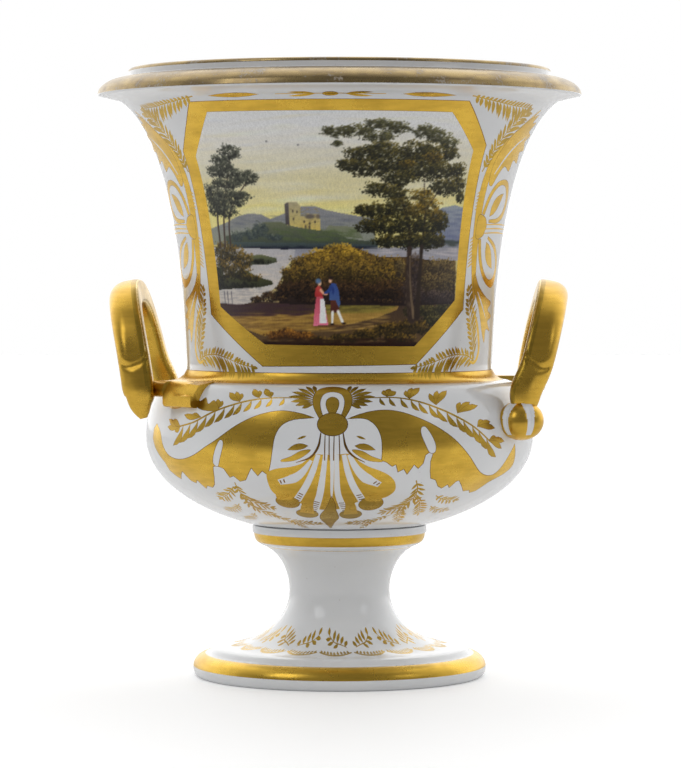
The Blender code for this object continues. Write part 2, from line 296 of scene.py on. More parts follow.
finishes = {
    "glaze": glazeFinish("bodyGlaze", glazeLook["tint"]),
    "footGlaze": glazeFinish("footGlaze", glazeLook["footTint"]),
    "gilt": gildFinish("burnishedGilding", (0.80, 0.51, 0.075, 1), (0.40, 0.23, 0.03, 1), 0.5, 0.02),
    "leafGilt": gildFinish("brushedLeafGilding", (0.56, 0.36, 0.05, 1), (0.28, 0.17, 0.03, 1), 0.6, 0.03),
    "edge": gildFinish("giltOutline", (0.26, 0.13, 0.03, 1), (0.16, 0.08, 0.02, 1), 0.6, 0.0),
    "wornGilt": gildFinish("rubbedLipGilding", (0.43, 0.32, 0.15, 1), (0.20, 0.145, 0.095, 1), 1.0, 0.72,
        (0.40, 0.34, 0.26, 1)),
    "handleGilt": gildFinish("handleGilding", (0.76, 0.47, 0.07, 1), (0.42, 0.245, 0.03, 1), 0.5, 0.02),
    # Brighter gold for the handles' arrises: a painted highlight
    "paintedArrisHighlight": gildFinish("paintedHighlightGilding", (0.95, 0.72, 0.32, 1), (0.8, 0.55, 0.2, 1), 0.4, 0.1),
}
print("finishes mixed")


# Flat drawing: gilt shapes on the wall, x mm round from the front and s mm up the outline
def curveThrough(points, steps=5, closed=False):
    points = [Vector(p) for p in points]
    count = len(points)
    dense = []
    for i in range(count if closed else count - 1):
        if closed:
            a, b, c, d = (points[(i + k) % count] for k in (-1, 0, 1, 2))
        else:
            b, c = points[i], points[i + 1]
            a = points[i - 1] if i else b * 2 - c
            d = points[i + 2] if i + 2 < count else c * 2 - b
        for k in range(steps):
            t = k / steps
            dense.append(0.5 * (2 * b + (c - a) * t + (2 * a - 5 * b + 4 * c - d) * t * t
                + (3 * b - a - 3 * c + d) * t ** 3))
    if not closed:
        dense.append(points[-1])
    return dense


def sideways(path, i):
    along = path[min(i + 1, len(path) - 1)] - path[max(i - 1, 0)]
    return Vector((-along.y, along.x)).normalized() if along.length > 1e-9 else Vector((0, 1))


def ribbon(points, widths, steps=5):
    path = curveThrough(points, steps)
    spots = np.linspace(0, 1, len(widths))
    left, right = [], []
    for i, spot in enumerate(path):
        half = float(np.interp(i / (len(path) - 1), spots, widths)) / 2
        left.append(spot + sideways(path, i) * half)
        right.append(spot - sideways(path, i) * half)
    return left + right[::-1]


def leaf(base, tip, width, bow=0.0, belly=0.45, steps=5):
    base, tip = Vector(base), Vector(tip)
    along = tip - base
    across = Vector((-along.y, along.x)).normalized()
    left, right = [], []
    for k in range(steps + 1):
        t = k / steps
        half = width / 2 * math.sin(math.pi * t ** (math.log(0.5) / math.log(belly))) ** 0.9 if 0 < k < steps else 0.0
        centre = base + along * t + across * (bow * along.length * 4 * t * (1 - t))
        left.append(centre + across * half)
        if 0 < k < steps:
            right.append(centre - across * half)
    return left + right[::-1]


def disc(centre, radii, steps=20):
    angles = [math.tau * k / steps for k in range(steps)]
    return [Vector((centre[0] + radii[0] * math.cos(a), centre[1] + radii[1] * math.sin(a))) for a in angles]


def blob(points, steps=4):
    return curveThrough(points, steps, True)


def flatArea(polygon):
    return 0.5 * sum(p[0] * q[1] - q[0] * p[1] for p, q in zip(polygon, polygon[1:] + polygon[:1]))


def finelyCut(polygon, longest):
    # Long straight edges get points of their own, so that they follow the curve of the wall
    cut = []
    for a, b in zip(polygon, polygon[1:] + polygon[:1]):
        parts = max(1, math.ceil((b - a).length / longest))
        cut += [a + (b - a) * k / parts for k in range(parts)]
    return cut


def grown(polygon, by):
    polygon = polygon if flatArea(polygon) > 0 else polygon[::-1]
    moved = []
    for i, spot in enumerate(polygon):
        before, after = Vector(polygon[i - 1]), Vector(polygon[(i + 1) % len(polygon)])
        spot = Vector(spot)
        into, out = (spot - before).normalized(), (after - spot).normalized()
        normal = Vector((into.y, -into.x)) + Vector((out.y, -out.x))
        if normal.length < 1e-6:
            normal = Vector((into.x, into.y))
        normal.normalize()
        lean = max(0.5, normal.dot(Vector((into.y, -into.x))))
        moved.append(spot + normal * by / lean)
    return moved


class Drawing:
    # Shapes in the order they are laid down, later ones on top
    def __init__(self):
        self.shapes = []

    def add(self, polygon, finish="gilt"):
        self.shapes.append(([Vector(p) for p in polygon], finish))

    def lined(self, polygon, line=0.3, finish="gilt"):
        self.add(grown([Vector(p) for p in polygon], line), "edge")
        self.add(polygon, finish)

    def merge(self, other, flip=False, shift=0.0):
        for polygon, finish in other.shapes:
            side = -1 if flip else 1
            self.add([Vector((side * p.x + shift, p.y)) for p in polygon], finish)


def fern(drawing, stem, upper, lower, spacing, width, lean=50, stemWidth=0.7):
    # A stem with a leaf on either side every few millimetres; the leaf lengths run from its foot to its tip
    path = curveThrough(stem, 8)
    lengths = [0.0]
    for a, b in zip(path, path[1:]):
        lengths.append(lengths[-1] + (b - a).length)
    drawing.add(ribbon(stem, (stemWidth, stemWidth * 0.5)), "leafGilt")
    reach, count = spacing * 0.6, 0
    while reach < lengths[-1] - spacing * 0.2:
        i = int(np.searchsorted(lengths, reach))
        along = (path[min(i + 1, len(path) - 1)] - path[i - 1]).normalized()
        for side, table in ((1, upper), (-1, lower)):
            length = float(np.interp(reach / lengths[-1], np.linspace(0, 1, len(table)), table))
            turn = math.radians(lean + 4 * math.sin(count * 2.3)) * side
            way = Vector((along.x * math.cos(turn) - along.y * math.sin(turn),
                          along.x * math.sin(turn) + along.y * math.cos(turn)))
            drawing.add(leaf(path[i], path[i] + way * length, width, -0.06 * side, 0.5, 4), "leafGilt")
        reach += spacing
        count += 1
    along = (path[-1] - path[-3]).normalized()
    drawing.add(leaf(path[-1] - along * 0.5, path[-1] + along * spacing * 1.5, width, 0, 0.5, 4), "leafGilt")


# Turned walls
wallTurning = {"columns": 120, "arc": 90.0, "seam": -math.pi / 2, "rowGap": 3.4, "edgeStep": 3.0, "sliver": 0.004,
               "weld": 0.00002}


def ovalPoints(centre, radii, start, end, steps):
    angles = [math.radians(start + (end - start) * k / steps) for k in range(steps + 1)]
    return [(centre[0] + radii[0] * math.cos(a), centre[1] + radii[1] * math.sin(a)) for a in angles]


def outlineTable(points):
    # Lengths along an outline in mm, with its outward normals
    spots = np.array(points)
    steps = np.diff(spots, axis=0)
    runs = np.hypot(steps[:, 0], steps[:, 1])
    sides = np.stack([steps[:, 1], -steps[:, 0]], 1)
    normals = np.zeros_like(spots)
    normals[:-1] += sides
    normals[1:] += sides
    normals /= np.linalg.norm(normals, axis=1)[:, None]
    return {"spots": spots, "lengths": np.concatenate([[0], np.cumsum(runs)]) * 1000, "normals": normals}


def wrapped(outline, x, s, lift=0.0):
    # Points of the flat drawing carried onto the turned wall
    lengths = outline["lengths"]
    radius = np.interp(s, lengths, outline["spots"][:, 0]) + lift * np.interp(s, lengths, outline["normals"][:, 0])
    height = np.interp(s, lengths, outline["spots"][:, 1]) + lift * np.interp(s, lengths, outline["normals"][:, 1])
    angle = np.asarray(x) / wallTurning["arc"]
    return np.stack([radius * np.sin(angle), -radius * np.cos(angle), height], 1)


def newPiece(name, verts, edges, faces):
    mesh = bpy.data.meshes.new(name)
    mesh.from_pydata([tuple(v) for v in verts], edges, faces)
    piece = bpy.data.objects.new(name, mesh)
    scene.collection.objects.link(piece)
    return piece


def wear(piece, finishNames):
    piece.data.materials.clear()
    for name in finishNames:
        piece.data.materials.append(finishes[name])


def pickOnly(piece=None):
    if bpy.context.object and bpy.context.object.mode != "OBJECT":
        bpy.ops.object.mode_set(mode="OBJECT")
    bpy.ops.object.select_all(action="DESELECT")
    if piece:
        piece.select_set(True)
        bpy.context.view_layer.objects.active = piece


def editWhole(piece):
    pickOnly(piece)
    bpy.ops.object.mode_set(mode="EDIT")
    bpy.ops.mesh.select_all(action="SELECT")


def namedNew(name):
    piece = bpy.context.object
    piece.name = piece.data.name = name
    return piece


def drawnWall(name, outline, drawing, finishNames):
    # The wall is cut along every painted edge, so the gilding lies flush in the glaze
    arc, columns = wallTurning["arc"], wallTurning["columns"]
    left = wallTurning["seam"] * arc
    width = math.tau * arc
    top = outline["lengths"][-1]
    rows = max(2, round(top / wallTurning["rowGap"]))
    spots = [Vector((left, 0)), Vector((left + width, 0)), Vector((left + width, top)), Vector((left, top))]
    loops = [[0, 1, 2, 3]]
    names = [finishNames[0]]
    for polygon, finish in drawing.shapes:
        polygon = finelyCut(polygon if flatArea(polygon) > 0 else polygon[::-1], wallTurning["edgeStep"])
        lowest = min(range(len(polygon)), key=lambda k: (polygon[k].y, polygon[k].x))
        polygon = polygon[lowest:] + polygon[:lowest]
        loops.append(list(range(len(spots), len(spots) + len(polygon))))
        spots += polygon
        names.append(finish)
    for i in range(columns + 1):
        for j in range(rows + 1):
            spots.append(Vector((left + width * i / columns, top * j / rows)))
    cut = delaunay_2d_cdt(spots, [], loops, 0, 1e-5, True)
    faces, fromLoops = cut[2], cut[5]
    flat = np.array([tuple(v) for v in cut[0]])
    corners = flat[np.array([tuple(f) for f in faces])]
    sides = corners - np.roll(corners, 1, axis=1)
    longest = np.linalg.norm(sides, axis=2).max(axis=1)
    doubled = np.abs(sides[:, 0, 0] * sides[:, 1, 1] - sides[:, 0, 1] * sides[:, 1, 0])
    kept = doubled > wallTurning["sliver"] * longest
    kept &= np.array([0 in sources for sources in fromLoops])
    piece = newPiece(name, wrapped(outline, flat[:, 0], flat[:, 1]), [],
        [tuple(f) for f, keep in zip(faces, kept) if keep])
    wear(piece, finishNames)
    for face, sources in zip(piece.data.polygons, [s for s, keep in zip(fromLoops, kept) if keep]):
        face.material_index = finishNames.index(names[max(sources)])
    return piece


def closeSkin(piece, weld=None):
    # Doubles merged, where there are any, and every face turned outwards
    editWhole(piece)
    if weld:
        bpy.ops.mesh.remove_doubles(threshold=weld)
    bpy.ops.mesh.normals_make_consistent(inside=False)
    bpy.ops.object.mode_set(mode="OBJECT")


def spunShell(name, points, finishNames, finishAt):
    # The rest of the turning: its outline is drawn in section and spun about the axis
    piece = newPiece(name, [(r, 0, z) for r, z in points], [(i, i + 1) for i in range(len(points) - 1)], [])
    editWhole(piece)
    bpy.ops.mesh.spin(steps=wallTurning["columns"], angle=math.tau, center=(0, 0, 0), axis=(0, 0, 1))
    closeSkin(piece, wallTurning["weld"])
    wear(piece, finishNames)
    for face in piece.data.polygons:
        radius = math.hypot(face.center.x, face.center.y)
        face.material_index = finishNames.index(finishAt(radius, face.center.z))
    return piece


def bandRound(low, high):
    left = wallTurning["seam"] * wallTurning["arc"]
    right = left + math.tau * wallTurning["arc"]
    return [(left, low), (right, low), (right, high), (left, high)]


def joinTurned(pieces, name, outlines):
    # One closed skin, with every normal taken from the outline that it was turned from
    pickOnly(pieces[0])
    for other in pieces[1:]:
        other.select_set(True)
    bpy.ops.object.join()
    piece = namedNew(name)
    closeSkin(piece, wallTurning["weld"])
    mesh = piece.data
    mesh.shade_smooth()
    stations = [(spot, normal) for outline in outlines for spot, normal in zip(outline["spots"], outline["normals"])]
    tree = KDTree(len(stations))
    for i, (spot, normal) in enumerate(stations):
        tree.insert((spot[0], spot[1], 0), i)
    tree.balance()
    normals = []
    for vert in mesh.vertices:
        radius = math.hypot(vert.co.x, vert.co.y)
        near = tree.find_n((radius, vert.co.z, 0), 2)
        out = sum(stations[index][1] / (distance + 1e-7) for spot, index, distance in near)
        if radius < 1e-6:
            normals.append((0, 0, math.copysign(1, out[1])))
            continue
        out = Vector((out[0] * vert.co.x / radius, out[0] * vert.co.y / radius, out[1])).normalized()
        normals.append(tuple(out))
    mesh.normals_split_custom_set_from_vertices(normals)
    return piece


# Body: bowl, shoulder, cove and bell as one wall, then the lip, mouth ring and inside
bodyShape = {"joint": 0.0799, "jointRadius": 0.0458, "bowlRadius": 0.1017, "bowlDepth": 0.0514,
             "shoulderRise": 0.0300, "swell": 0.0137, "neckRadius": 0.0800, "coveReach": 0.0080,
             "coveRise": 0.0076, "bellHeight": 0.1378, "bellFlare": 0.0345, "bellLow": (0.33, 0.07),
             "bellHigh": (0.86, 0.25), "wall": 0.0050, "lip": 0.0123, "lipRise": 0.0036, "lipSlope": 0.0088,
             "lipWidth": 0.0160, "ringHeight": 0.0048, "ringWidth": 0.0052, "bowlFloor": 0.0060,
             "edgeRound": 0.0009, "lipTuck": (0.0042, 0.0017), "mouthRound": 0.0018, "mouthInset": 0.0016}


def bodyLevels(shape):
    widest = shape["joint"] + shape["bowlDepth"] * math.sqrt(1 - (shape["jointRadius"] / shape["bowlRadius"]) ** 2)
    neck = widest + shape["shoulderRise"] + shape["coveRise"]
    edge = neck + shape["bellHeight"] + shape["lipRise"]
    ring = edge + shape["lipSlope"]
    return {"widest": widest, "shoulder": widest + shape["shoulderRise"], "neck": neck,
            "bellEnd": neck + shape["bellHeight"], "edge": edge, "ring": ring, "top": ring + shape["ringHeight"]}


def bellPoints(shape, neck, radius, steps):
    points = []
    for k in range(steps + 1):
        t = k / steps
        low, high, end = 3 * (1 - t) ** 2 * t, 3 * (1 - t) * t * t, t ** 3
        rise = low * shape["bellLow"][0] + high * shape["bellHigh"][0] + end
        flare = low * shape["bellLow"][1] + high * shape["bellHigh"][1] + end
        points.append((radius + flare * shape["bellFlare"], neck + rise * shape["bellHeight"]))
    return points


def bodyWallPoints(shape, level):
    start = -math.degrees(math.acos(shape["jointRadius"] / shape["bowlRadius"]))
    shoulder = shape["bowlRadius"] - shape["swell"]
    points = ovalPoints((0, level["widest"]), (shape["bowlRadius"], shape["bowlDepth"]), start, 0, 60)
    points += ovalPoints((shoulder, level["widest"]), (shape["swell"], shape["shoulderRise"]), 0, 90, 40)[1:]
    points += ovalPoints((shoulder, level["neck"]), (shape["coveReach"], shape["coveRise"]), -90, -180, 16)[1:]
    points += bellPoints(shape, level["neck"], shape["neckRadius"], 120)[1:]
    return points


def bodyMouthPoints(shape, level):
    bellEnd = shape["neckRadius"] + shape["bellFlare"]
    edge = bellEnd + shape["lip"]
    ring = edge - shape["lipWidth"]
    fine, bend, tuck = shape["edgeRound"], shape["mouthRound"], shape["lipTuck"]
    points = [(bellEnd, level["bellEnd"]), (edge - tuck[0], level["edge"] - tuck[1]),
              (edge - 0.0010, level["edge"] - 0.0010)]
    points += ovalPoints((edge - fine, level["edge"]), (fine, fine), -70, 20, 4)
    points += ovalPoints((ring, level["edge"]), (edge - ring, shape["lipSlope"]), 14, 84, 12)
    points += [(ring + 0.0004, level["ring"] + 0.0001), (ring, level["ring"] + 0.0006), (ring, level["top"] - bend)]
    points += ovalPoints((ring - bend, level["top"] - bend), (bend, bend), 20, 90, 5)
    points += ovalPoints((ring - bend * 2, level["top"] - bend), (shape["mouthInset"], bend), 90, 165, 5)
    return points


def bodyInsidePoints(shape, level):
    ring = shape["neckRadius"] + shape["bellFlare"] + shape["lip"] - shape["lipWidth"]
    mouth = ring - shape["ringWidth"]
    shoulder = shape["bowlRadius"] - shape["swell"] - shape["wall"]
    bell = [p for p in bellPoints(shape, level["neck"], shape["neckRadius"] - shape["wall"], 40)
            if p[0] < mouth - shape["wall"] / 2]
    points = [(mouth, level["ring"])]
    points += bell[::-1]
    points += ovalPoints((shoulder, level["neck"]), (shape["coveReach"], shape["coveRise"] + shape["wall"]),
        -180, -90, 8)[1:]
    points += ovalPoints((shoulder, level["widest"]), (shape["swell"], shape["shoulderRise"] - shape["wall"]),
        90, 0, 12)[1:]
    depth = level["widest"] - shape["joint"] - shape["bowlFloor"]
    points += ovalPoints((0, level["widest"]), (shape["bowlRadius"] - shape["wall"], depth), 0, -90, 20)[1:]
    return points


bodyLevel = bodyLevels(bodyShape)
bodyOutline = outlineTable(bodyWallPoints(bodyShape, bodyLevel))
wallTop = float(bodyOutline["lengths"][-1])
print("body outline is", round(wallTop, 1), "mm long")


# Gilding of the bell
frameInside = [(-57, 258), (54, 257.5), (73, 237), (75, 160), (47.5, 136.5), (-40, 137.5), (-71, 156.5), (-74, 234)]
bandHeights = {"low": 115.0, "high": 122.8, "line": 0.4}


def drawPanelFrame():
    drawing = Drawing()
    outer = [(-64, 264.5), (60, 264.5), (81, 240), (82.5, 155), (49, 127.5), (-42, 126.5), (-80, 152.5), (-83, 237)]
    drawing.lined(outer, 0.35)
    drawing.add(grown(frameInside, 0.1), "edge")
    drawing.add(grown(frameInside, -0.25), "glaze")
    return drawing


def drawCornerFerns():
    # Lower corner of the bell on the right: one fern along the band, one up beside the frame
    drawing = Drawing()
    fern(drawing, [(98, 128), (91, 130.6), (85, 131.6), (76, 131.6), (66, 129.6), (57, 127.2), (49, 125.8)],
         (7.0, 10.5, 13.0, 13.0, 10.0, 5.0), (3.5, 4.6, 5.6, 5.4, 3.4, 1.4), 2.6, 1.9, 50, 0.8)
    fern(drawing, [(97, 129.6), (94, 137), (91, 146), (88, 155), (86.4, 164)],
         (4.0, 5.2, 5.0, 4.0, 2.4), (7.0, 11.5, 11.5, 9.0, 5.0), 2.6, 1.9, 48, 0.8)
    drawing.add(ribbon([(90, 157), (94, 153), (98, 148), (101, 141), (102.5, 134), (100, 129), (96, 127.2),
        (92, 128.5)], (0.8, 1.6, 2.2, 2.6, 2.2, 1.6, 1.0)))
    return drawing


def drawUpperFerns():
    drawing = Drawing()
    fern(drawing, [(60, 268.4), (70, 266.2), (80, 264.4), (90, 263.0), (101, 262.6)], (1.6, 2.6, 3.6, 4.4, 3.0),
         (4.5, 9.0, 12.0, 12.0, 6.0), 2.6, 1.9, 52, 0.8)
    fern(drawing, [(83.5, 226), (87.6, 235), (92, 244), (97, 252), (104, 260)], (4.0, 7.0, 8.6, 8.0, 4.6),
         (5.0, 9.0, 11.0, 10.5, 6.0), 2.6, 1.9, 46, 0.8)
    return drawing


def drawSideScroll():
    # Strapwork between the frame and the handle's side: stem, joint, two loops and acanthus above and below
    drawing = Drawing()
    drawing.lined(ribbon([(118, 262), (109, 252), (100, 243), (92, 233), (88.5, 222), (87.5, 207), (88, 197),
        (88.3, 188), (89.5, 177), (91, 168), (92.5, 160)],
        (1.0, 3.0, 4.0, 5.0, 5.2, 5.4, 5.6, 5.0, 4.4, 3.6, 2.0), 4), 0.2)
    drawing.lined(blob([(88, 203), (94, 202.5), (97, 199), (96.5, 196), (94, 192.5), (88, 192)]), 0.25)
    drawing.lined(ribbon([(92, 204), (95.5, 213), (101, 219), (108, 221), (115, 219), (120, 212), (118, 205),
        (110, 201), (99, 200.5)], (2.4, 2.6, 2.6, 2.6, 3.4, 4.2, 3.6, 2.4, 1.2)), 0.2)
    drawing.lined(leaf((99, 203), (112, 215), 6.5, 0.06), 0.2)
    drawing.lined(ribbon([(92, 191), (95, 181), (100, 173.5), (107, 169), (115, 168.5), (120, 173), (119, 180),
        (112, 187), (101, 192)], (2.4, 2.6, 2.6, 3.0, 4.5, 4.5, 3.0, 2.4, 1.2)), 0.2)
    drawing.lined(leaf((100, 189.5), (112, 176), 7.0, -0.06), 0.2)
    for height in (194.2, 196.4, 198.6):
        drawing.add(ribbon([(96, height), (112, height + 0.4), (128, height)], (0.5, 0.8, 0.4)))
    acanthus = [(92, 230), (96, 239), (101, 246), (107, 251), (113, 256), (121, 259), (119, 254), (126, 254.5),
        (121, 249), (128, 247), (121.5, 243.5), (127, 239), (119, 237.5), (121, 231.5), (113, 233), (111, 227),
        (104, 229.5), (99, 225), (95, 219), (91.5, 221)]
    drawing.lined(blob(acanthus, 3), 0.25)
    drawing.add(ribbon([(95, 225), (102, 234), (110, 241), (120, 246)], (0.6, 1.3, 1.2, 0.3)), "glaze")
    lower = [(91.5, 173), (96, 167.5), (102, 163.5), (109, 160.5), (117, 158), (112, 154.5), (120, 151), (113, 148.5),
             (118.5, 143.5), (111, 144.5), (110, 137.5), (105.5, 143), (102, 150), (98, 157), (93.5, 163), (91, 168)]
    drawing.lined(blob(lower, 3), 0.25)
    drawing.add(ribbon([(96, 164), (103, 157), (110, 150)], (0.5, 1.1, 0.3)), "glaze")
    for k in range(6):
        drawing.add(ribbon([(83.6, 206 + k * 1.7), (86.3, 207.6 + k * 1.7)], (0.5, 0.9)))
    for k in range(9):
        drawing.add(ribbon([(83.6, 176.5 + k * 1.8), (87.0, 178.6 + k * 1.8)], (0.5, 0.9)))
    return drawing


def drawWreath():
    # A plain laurel wreath inside the frame at the back
    drawing = Drawing()
    for side in (-1, 1):
        stem = [(side * 2, 164), (side * 20, 168), (side * 35, 182), (side * 38, 202), (side * 29, 220),
                (side * 14, 230)]
        fern(drawing, stem, (4, 7, 8, 8, 7, 4), (4, 7, 8, 8, 7, 4), 4.2, 2.8, 40, 1.0)
    drawing.lined(disc((0, 164), (3.4, 3.4)), 0.25)
    rosette, petals = Vector((0, 200)), 8
    for k in range(petals):
        way = Vector((math.cos(k * math.tau / petals), math.sin(k * math.tau / petals)))
        drawing.lined(leaf(rosette + way * 3.4, rosette + way * 13, 5.0), 0.2)
    drawing.lined(disc(rosette, (2.6, 2.6)), 0.2)
    return drawing


def drawFrieze():
    drawing = Drawing()
    drawing.lined(disc((0, 268.4), (3.0, 1.4)), 0.2)
    for side in (-1, 1):
        drawing.add(ribbon([(side * 3, 268.6), (side * 22, 268.4)], (0.5, 0.5)))
        drawing.add(leaf((side * 6, 268.5), (side * 17, 269.5), 1.8, 0.03 * side))
        drawing.add(leaf((side * 6, 268.3), (side * 17, 266.8), 1.6, -0.03 * side))
        drawing.lined(leaf((side * 29, 268.4), (side * 52, 268.2), 3.0), 0.2)
    return drawing


def drawBell():
    drawing = Drawing()
    low, high, line = bandHeights["low"], bandHeights["high"], bandHeights["line"]
    drawing.add(bandRound(low - line, high + line), "edge")
    drawing.add(bandRound(low, high))
    back = math.pi * wallTurning["arc"]
    drawing.merge(drawPanelFrame(), shift=back)
    drawing.merge(drawWreath(), shift=back)
    drawing.merge(drawPanelFrame())
    for shift in (0.0, back):
        drawing.merge(drawFrieze(), shift=shift)
        for flip in (False, True):
            for part in (drawCornerFerns(), drawUpperFerns(), drawSideScroll()):
                drawing.merge(part, flip, shift)
    return drawing


# Gilding of the bowl
def drawWing():
    # The broad acanthus wing on the right of the fan
    drawing = Drawing()
    contour = curveThrough([(7.5, 91), (13, 93.2), (19, 94.8), (26, 95.2), (33, 93.8), (40, 91), (46, 88), (52, 84.3),
        (58, 79.8), (63, 75), (68, 70), (73, 65), (78, 61.2), (84, 59), (89.5, 59.2), (93, 62.5), (96.5, 69),
        (101, 75.5)], 3)
    contour += curveThrough([(101, 75.5), (103.2, 70.5), (105, 64), (101, 60), (95, 57), (90, 54.5),
        (88, 52.5)], 3)[1:]
    contour += [Vector(p) for p in ((84.5, 48.2), (80.5, 47), (78.5, 49.2), (74, 48.8), (70.5, 52.5), (66, 57),
        (64.2, 56.4), (62.2, 52.2), (60, 54.6), (57.4, 52), (54.6, 53.6), (51.5, 58), (48.4, 59.2), (47, 63.5),
        (46.2, 69), (47.2, 74.2), (45.2, 74), (43, 72.4), (42.3, 68), (40.4, 65.4), (38, 67.6), (35.4, 62.2),
        (33.4, 65.2), (30.8, 63.6), (29.4, 67.8), (27.6, 66.8), (25, 69), (22.6, 70))]
    contour += curveThrough([(22.6, 70), (22.7, 76), (22.2, 82), (20, 87.4), (16, 90.8), (11.5, 91.4),
        (7.5, 91)], 3)[1:-1]
    drawing.lined(contour, 0.3)
    drawing.lined(blob([(41.2, 86), (43.2, 86.4), (46.2, 81.8), (48, 77), (47.6, 73.6), (45, 73.8), (42.6, 78.6),
        (41, 83)]), 0.25, "glaze")
    return drawing


def drawLeftWing():
    drawing = Drawing()
    contour = curveThrough([(-8, 91.5), (-14, 93.5), (-22, 94.8), (-30, 93.7), (-38, 90.7), (-45, 86.7), (-50, 83.2),
        (-56, 79), (-62, 75.5), (-68, 72), (-74, 69.6), (-80, 68.3), (-86, 68.3), (-92, 70.4), (-96, 75.5),
        (-98.6, 81.5), (-104, 85.6)], 3)
    contour += [Vector(p) for p in ((-107.4, 83), (-108.6, 78), (-106, 73.5), (-102, 69.4), (-98, 65.6), (-97, 61),
        (-92.6, 57.4), (-90, 56), (-87, 59), (-84, 61.4), (-81, 55.4), (-78, 54), (-75.4, 56.4), (-73, 50.4),
        (-70.4, 52.6), (-67, 51.6), (-64, 54), (-61.4, 59), (-59.4, 65.4), (-57, 66), (-53.2, 64.6), (-51.4, 59.4),
        (-49, 60.4), (-46.4, 57), (-43, 58), (-40.4, 62), (-38, 65.6), (-35.6, 61), (-32.8, 64), (-30.4, 61.6))]
    contour += curveThrough([(-30.4, 61.6), (-28.2, 68), (-26.8, 75), (-25.6, 82), (-22.6, 87.6), (-17, 90.6),
        (-8, 91.5)], 3)[1:-1]
    drawing.lined(contour, 0.3)
    drawing.lined(blob([(-51.8, 78.6), (-53.6, 79.2), (-56.4, 74), (-58.6, 67.4), (-56.4, 65.6), (-54, 70.4),
        (-52.2, 75)], 3), 0.25, "glaze")
    return drawing


def drawSprig(stem, hanging, clusters, end=13):
    # A laurel branch over the wing: leaves hang below it, and open in small tufts above
    drawing = Drawing()
    side = 1 if stem[-1][0] > stem[0][0] else -1
    drawing.add(ribbon(stem, (0.5, 0.9, 1.0, 0.8)), "leafGilt")
    path = curveThrough(stem, 8)
    for k in range(end):
        share = 0.07 + 0.9 * k / (end - 1)
        spot = path[int(share * (len(path) - 1))]
        way = Vector((side * (hanging[0] + 0.35 * share), -hanging[1])).normalized()
        drawing.lined(leaf(spot, spot + way * (4.0 + 9.5 * share), 1.5 + 1.9 * share, -0.14 * side, 0.6),
            0.12, "leafGilt")
    for base, tips in clusters:
        for tip in tips:
            drawing.lined(leaf(base, tip, 3.0, 0.05, 0.6), 0.15, "leafGilt")
    return drawing


def rightSprig():
    return drawSprig([(18, 102), (30, 102), (40, 100), (50, 96.2), (60, 91.4), (70, 85.6), (80, 78)], (0.45, 1.0),
                     (((26, 102.6), ((25, 106.5), (28.5, 107.5), (31, 105.5))),
                         ((37, 101.2), ((36, 106), (40, 108), (44, 108))),
                      ((50, 97.6), ((48, 104), (53, 105.6), (58.5, 105.6))),
                      ((61, 93), ((64, 98.6), (70, 98.6), (74.5, 96.6))),
                      ((72, 85.8), ((76, 89), (81, 88), (84, 84.6))),
                      ((79, 78.4), ((85, 79.6), (91, 77.6), (89, 74)))))


def leftSprig():
    drawing = drawSprig([(-18, 102), (-30, 101.6), (-40, 100), (-50, 97), (-60, 93), (-70, 88), (-80, 85.4)],
        (0.4, 1.0), (((-29, 102), ((-30, 105.4), (-33.4, 107.4))), ((-35, 101.6), ((-36, 106), (-39.6, 107))),
        ((-45, 99.4), ((-45, 104), (-48.6, 105), (-52.4, 104.4))), ((-56, 95.4), ((-54.6, 99.4), (-58, 100.4))),
        ((-66, 90.6), ((-72, 92), (-78, 91.4))), ((-80, 85.4), ((-84, 82.6), (-91, 84.6), (-90.6, 88.6),
        (-86, 88.8)))), 12)
    drawing.lined(blob([(-56, 94.6), (-60, 99.6), (-63, 97.4), (-66, 101), (-69, 98.8), (-74, 101.4), (-80, 101.6),
        (-73, 97.6), (-66, 94.4)], 3), 0.2, "leafGilt")
    for gap in (0.0, 2.6):
        drawing.add(ribbon([(-101, 99.6 + gap), (-96, 96.6 + gap), (-90, 94.8 + gap), (-82, 95.4 + gap), (-75, 97)],
            (0.7, 1.2, 1.2, 0.8)))
    return drawing


def drawUndergrowth(side):
    # Thin sprays between the wings and the joint
    drawing = Drawing()
    right = (([(41, 58), (44, 50), (43, 42), (38, 35), (31, 31)], 6.0),
             ([(44, 46), (49, 41), (53, 35), (57, 28)], 4.6),
             ([(43, 42), (41.6, 34), (44, 26), (48, 19)], 4.6), ([(37, 27), (29, 20.4), (20, 16.8), (11, 15.6)], 4.4),
             ([(30, 20.6), (26, 14), (24, 7)], 3.4), ([(57, 46), (65, 42), (74, 41)], 4.0),
             ([(60, 36), (68, 31), (78, 30)], 3.6))
    left = (([(-50, 56), (-50, 47), (-46, 40.6), (-38, 36)], 5.0),
            ([(-50, 47), (-50.6, 38), (-46, 30.4), (-40, 26)], 4.6),
            ([(-44, 28), (-36, 21), (-26, 16.4), (-13, 14.8)], 4.6), ([(-34, 19.6), (-30.6, 12.6), (-27, 6)], 3.8),
            ([(-52, 53), (-59, 47), (-67, 43)], 4.6), ([(-58, 38), (-66, 32), (-76, 30)], 3.8),
            ([(-54, 28), (-62, 22), (-72, 19)], 3.4))
    for stem, reach in (right if side > 0 else left):
        table = (reach * 0.7, reach * 1.35, reach * 1.5, reach * 0.8)
        fern(drawing, stem, table, table, 2.9, 1.6, 44)
    return drawing


